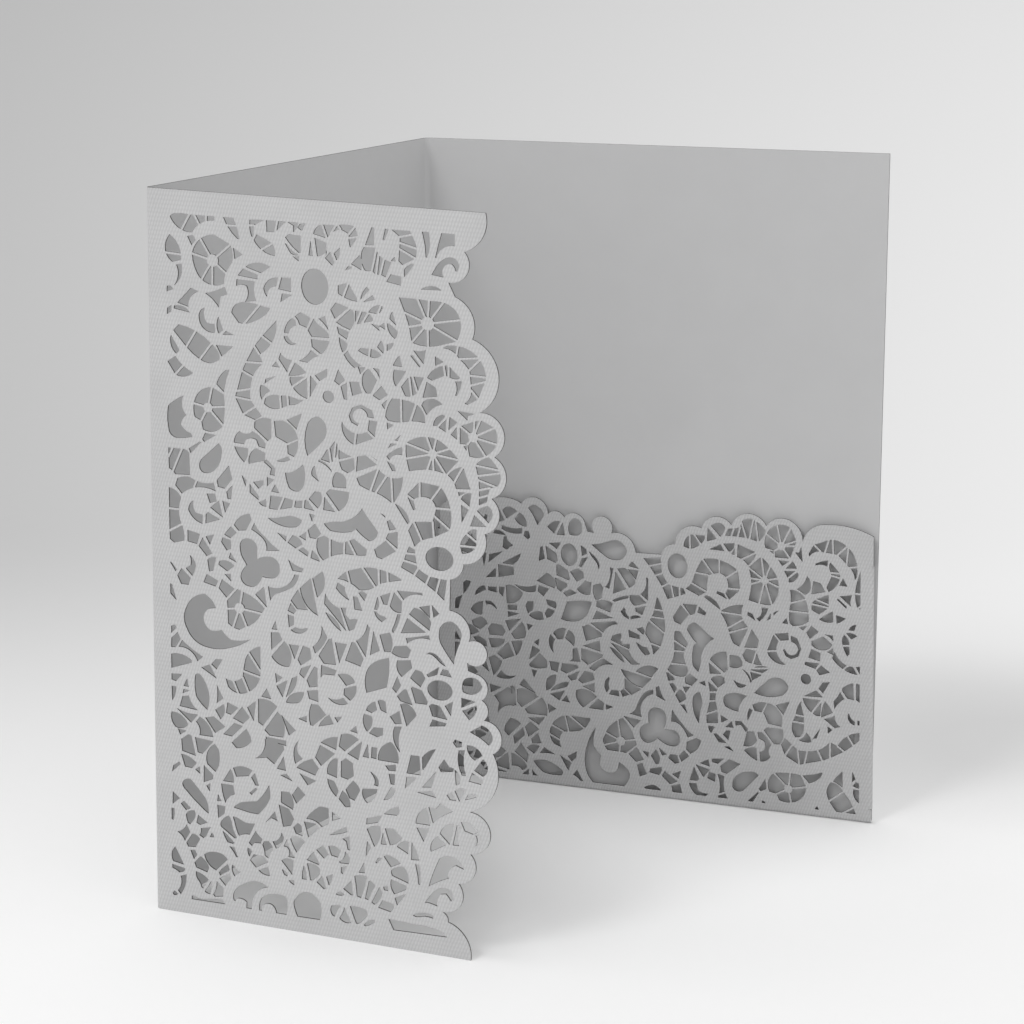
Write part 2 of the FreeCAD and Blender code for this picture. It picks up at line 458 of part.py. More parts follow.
def add_tab(side):
    """The tab at one side of the pocket, turned in behind it, with the bend that joins them."""
    right = side == "right"
    edge = val("pocket_end") - TAB_RISE if right else val("pocket_start") + TAB_RISE
    near = edge - val("tab_width") if right else edge
    place = POCKET_FRAME.multiply(FreeCAD.Placement(
        FreeCAD.Vector(edge, -(POCKET_OFFSET + TAB_OFFSET) / 2, val("tab_foot")),
        FreeCAD.Rotation(UP, -90 if right else 90),
    ))
    name = side.capitalize()
    tab = add_box(name + "Tab", side + " tab", POCKET_FRAME,
                  (near, -TAB_OFFSET - PAPER / 2, val("tab_foot")),
                  ("Sizes.tab_width", "Sizes.paper_thickness", "Sizes.tab_height"))
    bend = add_bend(name + "TabBend", side + " tab bend", place, "180", "%.12f" % TAB_RADIUS,
                    "Sizes.tab_height")
    return [tab, bend]


def build_sheet():
    """The folded sheet: three panels, their two folds, the pocket with its hem and its tabs."""
    paper, height = "Sizes.paper_thickness", "Sizes.card_height"
    pieces = [
        add_lace("LaceFlap", "lace flap", FLAP_FRAME, flap_lace_shape()),
        add_lace("LacePocket", "lace pocket", POCKET_FRAME, pocket_lace_shape()),
        add_lace("PocketCorner", "pocket corner", POCKET_FRAME, pocket_corner_shape()),
        add_box("MiddlePanel", "middle panel", MIDDLE_FRAME, (LEFT_SETBACK, -PAPER / 2, 0),
                ("Sizes.middle_width - %.12f" % (LEFT_SETBACK + BACK_SETBACK), paper, height)),
        add_box("PocketPanel", "pocket panel", POCKET_FRAME, (val("pocket_start"), -PAPER / 2, HEM_RISE),
                ("Sizes.pocket_panel_width - Sizes.pocket_start", paper, height + " - %.12f" % HEM_RISE)),
        add_box("PocketPanelEdge", "pocket panel by the fold", POCKET_FRAME, (BACK_SETBACK, -PAPER / 2, 0),
                ("Sizes.pocket_start - %.12f" % BACK_SETBACK, paper, height)),
        add_bend("LeftFold", "left fold", LEFT_FOLD_PLACE, "%.12f" % (180 - LEFT_ANGLE),
                 "Sizes.left_fold_radius", height),
        add_bend("BackFold", "back fold", BACK_FOLD_PLACE, "%.12f" % (180 - BACK_ANGLE),
                 "Sizes.back_fold_radius", height),
        add_bend("PocketHem", "pocket hem", HEM_PLACE, "180", "%.12f" % HEM_RADIUS,
                 "Sizes.pocket_end - Sizes.pocket_start"),
    ]
    for side in ("left", "right"):
        pieces += add_tab(side)
    card = doc.addObject("Part::MultiFuse", "FoldedCard")
    card.Label = "folded card"
    card.Shapes = pieces
    card.Refine = True
    return card


def build_tape(side):
    """The strip of double-sided tape that holds a tab to the pocket panel."""
    spare = (val("tab_width") - val("tape_width")) / 2
    if side == "right":
        near = val("pocket_end") - TAB_RISE - spare - val("tape_width")
    else:
        near = val("pocket_start") + TAB_RISE + spare
    foot = val("tab_foot") + (val("tab_height") - val("tape_length")) / 2
    return add_box("Tape" + side.capitalize(), side + " tape strip", POCKET_FRAME,
                   (near, -PAPER / 2 - val("tape_thickness"), foot),
                   ("Sizes.tape_width", "Sizes.tape_thickness", "Sizes.tape_length"))


parts = {
    "folded_card": build_sheet(),
    "tape_left": build_tape("left"),
    "tape_right": build_tape("right"),
}
doc.recompute()
for item in doc.Objects:
    if "Invalid" in item.State or "Error" in item.State:
        raise RuntimeError("%s did not recompute: %s" % (item.Label, item.State))
    if hasattr(item, "Shape") and (item.Shape.isNull() or not item.Shape.isValid()):
        raise RuntimeError("%s has no sound shape" % item.Label)

os.makedirs("parts", exist_ok=True)
for node, item in parts.items():
    item.Shape.exportStep("parts/%s.step" % node)
    box = item.Shape.BoundBox
    print("%s: %d solid, %d faces, %.1f x %.1f x %.1f, centre (%.2f, %.2f)" % (
        node, len(item.Shape.Solids), len(item.Shape.Faces), box.XLength, box.YLength, box.ZLength,
        box.Center.x, box.Center.y))
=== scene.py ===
import json
import logging
import math
from collections.abc import Callable, Iterable
from dataclasses import dataclass, field
from enum import Enum

import bmesh
import bpy
import numpy as np
from mathutils import Matrix, Vector
from mathutils.geometry import delaunay_2d_cdt

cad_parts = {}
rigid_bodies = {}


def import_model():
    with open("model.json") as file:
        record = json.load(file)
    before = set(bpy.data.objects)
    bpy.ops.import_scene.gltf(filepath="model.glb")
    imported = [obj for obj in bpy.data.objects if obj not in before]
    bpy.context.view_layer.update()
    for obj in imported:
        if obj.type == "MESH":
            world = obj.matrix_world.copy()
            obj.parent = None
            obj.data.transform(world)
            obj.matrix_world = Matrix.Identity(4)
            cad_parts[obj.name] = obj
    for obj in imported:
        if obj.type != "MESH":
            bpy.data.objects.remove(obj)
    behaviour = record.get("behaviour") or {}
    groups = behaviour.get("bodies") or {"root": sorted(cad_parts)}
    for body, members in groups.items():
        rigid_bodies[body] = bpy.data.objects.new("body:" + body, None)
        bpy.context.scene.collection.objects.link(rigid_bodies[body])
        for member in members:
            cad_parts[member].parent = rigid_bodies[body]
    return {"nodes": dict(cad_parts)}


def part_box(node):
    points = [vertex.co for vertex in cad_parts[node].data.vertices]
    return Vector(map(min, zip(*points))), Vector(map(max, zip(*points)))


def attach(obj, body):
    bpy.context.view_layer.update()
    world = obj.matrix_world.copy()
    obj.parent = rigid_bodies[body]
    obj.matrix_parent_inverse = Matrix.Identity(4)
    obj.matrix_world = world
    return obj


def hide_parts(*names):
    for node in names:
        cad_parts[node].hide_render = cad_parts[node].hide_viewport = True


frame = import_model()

logging.basicConfig(level=logging.INFO, format="%(message)s")
LOG = logging.getLogger("pocket_fold_invitation")

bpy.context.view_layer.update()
MM = 0.001
TINY = 1e-6
"""A length in mm that counts as none."""
SAME_PLACE = 0.02
"""Points of an outline nearer than this, in mm, are one point."""
SHORTEST_PIECE = 0.25
"""Shortest piece, in mm, that a curve of an outline is divided into."""
BEND_LINES = 10
"""How many strips each bend of the paper is divided into."""
WHOLE_HULL = 0
"""The kind of triangulation that fills everything within the outermost points."""
WELD = 1e-4
"""Points of the flat sheet nearer than this, in mm, become one in its triangulation."""

Point = tuple[float, float]
Outline = list[Point]
Cell = tuple[tuple[float, ...], ...]
Band = tuple[tuple[float, ...], ...]
Wheel = tuple[float, float, float, tuple[tuple[float, float, int], ...]]

# ---------------------------------------------------------------------------------------------------------
# The lace, in mm on the flap: x from the fold, y from the foot of a card 178 high. It is scrollwork whose
# leaves, spirals and fans are left standing between open cells.
#
# A cell is a closed outline of (x, y); a third number is the height of the arc to the next point, positive
# where it bulges out of the cell. A band is a long opening between two rails, given as rungs
# (x, y, x, y) from rail to rail: a thin bar of paper crosses it at each inner rung, unless a fifth number
# is 0. A wheel is a round opening (x, y, boss radius, rim) with a boss in its middle, held by a spoke to
# each rim point marked 1. An eyelet is an ellipse (x, y, half width, half height).

FREE_EDGE: Cell = (
    (82.4, 0, 1.9), (76.7, 8.6, 0.45), (75.3, 10.9, 2.9), (79.3, 18.5, 2.7), (82.2, 26.2, 5), (82, 36.5, 3.7),
    (87.6, 51.4, 3.2), (85.3, 59.2, 1.3), (84.8, 64, 2.1), (83.4, 70.1), (81.4, 70.7), (81.2, 72.6, 4.65),
    (81.6, 77.7, 2.1), (76.8, 84.6), (77, 92, 0.9), (80.2, 96, 2.4), (85.3, 103.7, 2.7), (86.9, 112.2, 3.2),
    (87.5, 122, 4.1), (84, 132, 5.4), (82.1, 148.8, 2.2), (77.9, 158.2), (76.3, 161.4, 2.9),
    (80.1, 168.7, 2.1), (85.1, 178),
)
BANDS: tuple[Band, ...] = (
    # crown
    ((6.3, 171.6, 7.4, 172.3), (9.3, 168.6, 11.4, 172.3), (12.1, 168.2, 12, 172.3, 0),
     (13.9, 170.2, 12.7, 172.3), (15.7, 171.1, 15.8, 172.3), (17.9, 171.4, 17.9, 172.3)),
    ((20.2, 172.3, 22.8, 172.3), (21.1, 170.5, 23.6, 170.5), (23.8, 167.5, 24.3, 167.5)),
    ((27, 172.2, 30.6, 172.4), (26.9, 170.9, 28.1, 171), (27.4, 168.3, 27.9, 168.4)),
    ((28, 167.5, 28.8, 168.9), (29.9, 165.4, 32.8, 167.1), (33.4, 164.2, 33.4, 165)),
    ((31.3, 169.7, 31.2, 172.4), (33.5, 169.8, 34, 172.4), (35.6, 171.9, 36.2, 172.4)),
    ((35.9, 167.4, 36.2, 167.3), (37.2, 165.3, 37.8, 165.7, 0), (39.2, 164.9, 39.4, 165)),
    ((36, 168.8, 37, 169.6), (37.8, 166.7, 39.9, 169.4, 0), (39.4, 165.4, 39.9, 165.5)),
    ((37.9, 164.4, 37.9, 164.4), (39.4, 163.4, 39.6, 164.6)),
    ((36.6, 172.4, 39.4, 172.4), (38.1, 171.6, 39, 171.4, 0), (38, 169.9, 40.2, 170.5),
     (39.8, 172.2, 41.2, 172.4)),
    ((42.4, 168.5, 42.4, 168.5), (41.9, 165, 43, 165)),
    ((43.4, 169.2, 46.4, 168.2), (44, 165, 46.2, 165, 0), (44.2, 165, 46.6, 166.8)),
    ((46, 164.7, 47.3, 166.2), (47.8, 163.1, 48.4, 163.9)),
    ((48.2, 165.9, 49.7, 167.4), (48.9, 164.4, 49.5, 165.4)),
    ((43.1, 170.1, 44.9, 172.3), (46.5, 169.3, 45.3, 172.4), (47.4, 170.4, 48.8, 172.5),
     (49.9, 171.7, 49.2, 172.6), (52, 170.7, 53.5, 172.6), (51.9, 169.8, 54.2, 170.2),
     (52.3, 167.6, 52.5, 167.9)),
    ((52.5, 163.8, 54.6, 166), (55, 162.6, 55, 165)),
    ((56, 168.5, 58.2, 168.6), (57.6, 172.7, 58.2, 172.7)),
    ((55.9, 162.6, 55.2, 167.1), (56.4, 162.5, 55.7, 168, 0), (57.7, 162.8, 58.8, 168),
     (58.7, 161.9, 59.3, 166.5), (59.7, 161.9, 60.6, 165.6), (61, 161.4, 62.4, 165)),
    ((60.3, 170, 60.8, 170), (60.9, 172.6, 61.8, 172.6)),
    ((65.1, 164.6, 64.2, 165.4), (68.3, 166.3, 64.4, 168.2), (68.6, 168.6, 64.5, 169.6),
     (67.4, 171.7, 64.5, 171), (67, 172.5, 62.5, 172.5)),
    ((69.9, 172.6, 71.5, 172.6), (70.6, 169.5, 71.8, 170, 0), (70.8, 166.8, 71.2, 166.8)),
    ((73.1, 166.9, 73.4, 166.9), (73.8, 169.8, 75.3, 169.4, 0), (74.6, 172.6, 77.8, 169.9, 0),
     (74.7, 172.6, 77.8, 172.6)),
    ((6.2, 167.3, 6.2, 167.3), (5.1, 165.4, 8.4, 165, 0), (5.1, 162.9, 9.1, 162.7), (6.8, 160.8, 9, 161.4)),
    ((23.8, 158.9, 25.2, 160.6), (28.9, 158.4, 28.9, 159.4)),
    ((26, 161, 26, 161.2), (29.8, 159.9, 29, 162.3, 0), (32.1, 161.5, 32.1, 161.5)),
    ((49.2, 156.7, 49.2, 158.6), (50.5, 156, 51.8, 159.4), (53.8, 155.2, 52.6, 158, 0),
     (54, 155.2, 54, 155.3)),
    ((51, 162.2, 51.8, 163.3), (52.6, 162.8, 52.7, 163.2)),
    ((54.8, 155.7, 54.9, 156.3), (57, 158.2, 56.4, 158.8)),
    ((61.2, 160.4, 62.3, 162.2), (64.7, 159.8, 64.9, 161.8)),
    ((65.6, 161.8, 65.5, 163.5), (66.8, 163.2, 65.9, 164, 0), (67.9, 164.9, 67.7, 165.1)),
    ((55.6, 155.2, 55.6, 155.3), (58.4, 156, 57.8, 157)),
    # shoulder
    ((5.2, 148.2, 5.3, 149.7), (6.4, 149, 6.4, 150.4)),
    ((7.1, 149.7, 7.1, 150.4), (11.2, 149.1, 10.8, 149.6)),
    ((22.1, 149.9, 22.8, 151.6), (23.9, 147.7, 23.4, 152.1, 0), (25.3, 147.6, 29.3, 152.3),
     (28.6, 148.7, 30.6, 152, 0), (32, 151.6, 32.1, 151.8)),
    ((53.5, 149.9, 53.5, 153), (53.6, 149.9, 54.9, 153), (55.2, 150.3, 56.8, 152.8),
     (57.8, 151, 57.9, 151.5)),
    ((56.8, 152.9, 56.9, 153.1), (59, 152.7, 59.9, 154.9), (60.3, 154, 60.4, 154.3)),
    ((59.4, 149.9, 60.7, 150.8), (59.5, 148.8, 60.9, 149.2, 0), (57.4, 150.3, 58.4, 150.2, 0),
     (57.5, 150.2, 57.5, 150.3)),
    ((62, 151.8, 62, 152), (63.6, 150.4, 62.7, 153.6)),
    ((61.4, 150.7, 61.8, 150.8), (61.6, 149.3, 63.9, 149.2, 0), (63.3, 147.3, 63.9, 148.3)),
    ((6.2, 143.3, 6.2, 143.3), (6.1, 141, 7.2, 141.7, 0), (7.5, 138.9, 8.4, 139.8)),
    ((6.8, 144.5, 8.3, 146), (10.2, 140.8, 12.7, 144.8), (13.7, 138.1, 16.8, 142.1),
     (16, 137.4, 18.6, 140.2, 0), (18.8, 138.5, 18.9, 138.8)),
    ((18, 141.9, 22.4, 141.9), (19.4, 139.3, 20.6, 140.2)),
    ((51.6, 143.5, 50.6, 142.5), (53.7, 141, 52.3, 140.3, 0), (55, 140.3, 53.2, 139.6)),
    ((54.2, 143.7, 54.8, 144.4), (56.9, 142.6, 57.1, 144.4), (57.9, 142.4, 58.3, 144.3, 0),
     (59.8, 143, 59.9, 143.1)),
    ((58.9, 145, 59.9, 146.6), (60.4, 143.6, 60.6, 144.6)),
    ((61.3, 144.3, 61.3, 145.8), (62.6, 145.3, 63, 146.4)),
    ((62.8, 141, 65.1, 140.9), (64.3, 143.4, 64.4, 143.5)),
    ((67.1, 143.7, 67.6, 143.9), (69.3, 141.2, 69.6, 141.5)),
    ((67.8, 145, 68.4, 144.9), (70.3, 142, 70.9, 145.4)),
    ((73.1, 144.1, 73.1, 144.1), (73.2, 141.9, 75.2, 143)),
    ((71.2, 138.9, 72.4, 138.4), (75.2, 142.1, 75.6, 139.9), (76.4, 142.2, 76.4, 139.6),
     (79.2, 139.6, 78.9, 139.4)),
    ((75.1, 146.2, 75.2, 146.3), (78.3, 144.9, 78.6, 146.9), (79, 144, 83.6, 144.6),
     (81.4, 141.6, 83.9, 144.2), (81.6, 140.4, 85.4, 140.3), (81.8, 138.1, 85.3, 139.3),
     (81.8, 137.5, 83.6, 135.2, 0), (81.9, 137, 83.6, 135.1), (80.3, 133.8, 81, 133.6)),
    ((5.2, 136.9, 7.3, 138.3), (7.2, 133.9, 9.3, 136.2), (11.8, 134.6, 11.9, 134.7)),
    ((18, 132.5, 19.9, 130.8), (19.3, 135, 20.6, 134, 0), (20.9, 136.2, 21.4, 136.2)),
    ((33.6, 149, 33.6, 149), (29.9, 145, 32.3, 143.5), (27.9, 142.4, 29.2, 140.6),
     (25.7, 138.5, 30.1, 138.6), (24.7, 136.3, 27.4, 135.1), (23.3, 131.4, 26.8, 132.2),
     (22.8, 129.9, 26.9, 129.5), (24.9, 125.9, 28, 128), (27.9, 124.9, 29.7, 126)),
    ((30.3, 133.7, 33.5, 135.9), (30.2, 134, 30.7, 134.9, 0), (30.2, 133.7, 30.5, 133.8)),
    ((36.9, 135.3, 37, 136), (37.6, 133.7, 41.3, 136.4), (41.3, 131.2, 41.4, 131.3)),
    ((54.1, 140, 56, 139.9), (54.7, 138.3, 54.8, 138.4)),
    ((55.9, 139, 56.9, 139.7), (55.1, 136.6, 58.9, 137.2, 0), (56.2, 133.9, 57.3, 134)),
    ((58.3, 139.6, 57.8, 140), (59.5, 137.5, 59.4, 139.9)),
    ((63.1, 140.1, 66, 140), (62.8, 138.5, 65.1, 138.4, 0), (63.4, 136.3, 63.6, 136.3)),
    ((64.8, 136.2, 65.8, 134.2), (66.8, 138.8, 67.4, 134.3), (67.6, 138.9, 68.8, 135.3),
     (70.4, 138.9, 69.4, 136.8)),
    ((70.1, 134.2, 73.7, 134.8), (71.1, 138, 73.3, 136.8)),
    ((78, 138.7, 79.7, 138.9), (78.4, 137, 79.2, 137, 0), (78, 135.4, 78.5, 135.5)),
    ((30.2, 133.3, 29.5, 133.4), (31.9, 132.1, 29.3, 131, 0), (30.4, 131, 29.7, 129.9)),
    ((30.6, 130.3, 30.3, 129), (33.7, 131.4, 31.9, 128.1, 0), (34.4, 131.3, 34.6, 128.3),
     (36.3, 131.5, 36.5, 129.2), (39.5, 130.7, 38.2, 129.5, 0), (40.5, 130.9, 40.5, 130.9)),
    ((58.2, 128.2, 56.5, 128.3), (57.6, 130, 55.9, 129.6, 0), (54.9, 131.1, 54.7, 130.2, 0),
     (52.7, 130.2, 53.3, 129.5, 0), (51.8, 128.2, 52.8, 128.3, 0), (52.4, 126.7, 53.2, 127.2, 0),
     (54, 126, 54.4, 126.5)),
    ((60.9, 128.8, 61.5, 131.4), (61.6, 128, 62.6, 133.3, 0), (64.9, 127.9, 64.8, 133.3),
     (67.1, 128.4, 68.5, 132.5), (70.7, 128.3, 70.7, 129.4)),
    # waist
    ((56.9, 127.6, 58.9, 127.5), (56.5, 124.9, 58.2, 123.5), (53.6, 124.1, 53.2, 121.4),
     (51.3, 125.1, 51, 122.9, 0), (50.1, 126.6, 50, 125.5)),
    ((44.7, 117.1, 46.3, 119.6), (47.3, 116.5, 46.8, 119.7), (48, 117.3, 48.6, 122.3),
     (48.9, 118.9, 48.9, 121)),
    ((49.3, 119.9, 52.4, 118.6), (49.3, 117.3, 53, 118.5), (50, 115.2, 53.2, 116.2, 0),
     (51.5, 114.5, 53.2, 115.6)),
    ((53.6, 115.1, 53.9, 118.7), (58.8, 117.3, 56, 119.2)),
    ((56.9, 119.4, 58.8, 118.3), (58.8, 118.4, 58.8, 120.9, 0)),
    ((76.3, 116.6, 79.6, 118.9), (77.8, 115, 80, 119), (78.3, 113.6, 81.8, 113.9)),
    ((5.1, 115.2, 5.1, 116), (5.1, 113.8, 6.2, 116), (5.2, 111, 7.2, 116, 0), (6.2, 110.4, 8.7, 116),
     (6.8, 109.7, 9.4, 116, 0), (10.8, 109.9, 10.6, 115.2)),
    ((53.7, 113.6, 54.4, 112), (59.2, 116.4, 57.2, 110.9), (61.2, 114.8, 58.5, 110.6),
     (62.4, 114.5, 62.7, 108.4), (65.3, 115, 63.5, 109.4)),
    ((79.5, 111.3, 80.9, 112.8), (81.6, 109.8, 82, 112.9)),
    ((83.4, 120.1, 86.2, 121.8), (83, 119.6, 88.6, 119), (83.6, 117.2, 88.9, 118.4),
     (83.8, 116.2, 88, 115), (83.9, 113.9, 86.6, 114.7), (83.9, 112.1, 86, 112.9),
     (83.9, 110.4, 85.8, 111.3)),
    ((6.8, 107, 7.4, 108.7), (8.5, 105.1, 10.8, 109.3, 0), (11.7, 106.9, 12.4, 108.6),
     (17.5, 106.6, 17, 108.6)),
    ((31.4, 103.9, 31.8, 107.1), (33.9, 103.9, 35.2, 107), (37.6, 104.9, 37.9, 106.5),
     (40.1, 105, 40.3, 106.8), (43, 104.6, 41.1, 107.1)),
    ((68.4, 107.8, 67.8, 107.5), (67.8, 109.9, 66.2, 110.9), (69.4, 110.8, 69.4, 114.3),
     (72.3, 110.4, 74.6, 113.7), (73.4, 108.5, 77, 108.6), (73, 106.6, 76.8, 103.7),
     (72.6, 105.2, 72.9, 101.6), (67.9, 104.7, 69.9, 100.5), (66.6, 102.5, 68.2, 98.8)),
    ((82.5, 104.5, 83.3, 104.5), (80.9, 103.3, 83.3, 101.6), (79.3, 100.3, 83.2, 100.3),
     (79.8, 98.5, 81.3, 98.8)),
    # hip
    ((5.1, 106.3, 5.2, 106.3), (5.1, 103.9, 8.3, 104, 0), (5.1, 101.2, 7.7, 101.2),
     (5.1, 97.8, 8.2, 98, 0), (5.1, 95.7, 8.4, 97.6), (5.2, 93.6, 9, 95.5, 0), (6.3, 92.9, 9, 93.7)),
    ((43.7, 95, 43.9, 98.2), (45.2, 92.9, 45.5, 98.9, 0), (46.9, 94, 46.9, 98.3), (50.5, 95.1, 50.6, 97.8),
     (53.4, 95.1, 51.6, 98.3), (55.8, 95.3, 53, 99, 0), (56.1, 95.4, 56.2, 96.8)),
    ((66.8, 98.7, 68.2, 98.1), (66.1, 97, 68.3, 97), (65.5, 95.2, 68.7, 94.6), (64.8, 93.5, 68.8, 93.9, 0),
     (68.1, 92, 69.1, 93.7), (71, 90.2, 71.8, 92.1), (73.5, 88.5, 74.4, 91.8), (75.5, 86.8, 76.1, 91.7)),
    ((48.9, 88.9, 49.3, 89.3), (51.9, 88.3, 51.2, 91), (54.3, 86.8, 54, 91.9, 0), (58.3, 88, 55.1, 92.3),
     (59.3, 88.8, 59.2, 92.4), (61.5, 89.6, 61.4, 92), (64.9, 90.4, 64.9, 90.6)),
    # knee
    ((19.6, 60.9, 20.2, 58.9), (21.6, 60.5, 22.9, 57.6), (24.1, 61.7, 25.6, 58.3),
     (24.3, 63.3, 28.7, 62.3), (25.7, 68, 28.8, 63.7), (28.7, 69.9, 28.8, 69.8)),
)
WHEELS: tuple[Wheel, ...] = (
    # crown
    (17.3, 161.9, 1.5, ((14.2, 166.8, 1), (12, 163.2, 1), (12.6, 160, 0), (14.4, 157.2, 1),
                        (17.2, 156.1, 1), (20.2, 156.6, 0), (20.7, 159.2, 1), (22.4, 162, 0), (22, 166, 1),
                        (17.8, 168, 0))),
    # shoulder
    (71.3, 151.5, 1.6, ((68.8, 157, 1), (64.3, 157, 0), (65.7, 153.6, 1), (66.8, 150.4, 1),
                        (67.4, 146.8, 1), (71.4, 146.2, 1), (74.8, 146.9, 0), (78.4, 148.1, 1),
                        (79.3, 151, 0), (79.2, 153, 1), (77.6, 155.5, 0), (75.1, 156.7, 1),
                        (71.6, 156.8, 1))),
    # waist
    (15.7, 126.7, 1.2, ((16.8, 131.7, 1), (13.5, 130.3, 0), (12, 127.4, 1), (12.2, 124.1, 0),
                        (13.9, 123.4, 1), (14.3, 121.3, 0), (17, 121, 0), (19.6, 122.7, 1),
                        (20.1, 127.3, 1), (19.9, 130.2, 0))),
    (82.4, 126.1, 1.2, ((79.2, 128.4, 1), (82.7, 129.8, 1), (84.1, 130.3, 1), (87.5, 128.8, 1),
                        (88, 125, 1), (87.4, 123.8, 0), (85.3, 122, 1), (81.5, 121.6, 0), (81, 124.3, 1),
                        (79.2, 124.3, 0))),
    (72.6, 121.2, 1.1, ((66.1, 119.5, 1), (66, 123.1, 1), (68.3, 124.5, 0), (71.1, 125.1, 1),
                        (73.4, 124.8, 1), (76.6, 122.8, 1), (79, 120.4, 1), (75.7, 116.7, 1),
                        (74.3, 117.2, 0), (72.8, 117.4, 1), (71.3, 117.5, 1), (69.2, 117.2, 0),
                        (66.8, 116.6, 0))),
    # hip
    (23.4, 78.7, 1.3, ((20.2, 80.2, 0), (22.9, 83.3, 0), (24.2, 82.9, 1), (26.2, 82.2, 0), (30, 79.4, 0),
                       (29.2, 78, 1), (26, 74.7, 0), (25.2, 74.4, 1), (23.4, 73.4, 0), (21.7, 73.8, 1),
                       (20.4, 74.6, 0), (20.3, 78.2, 1))),
)
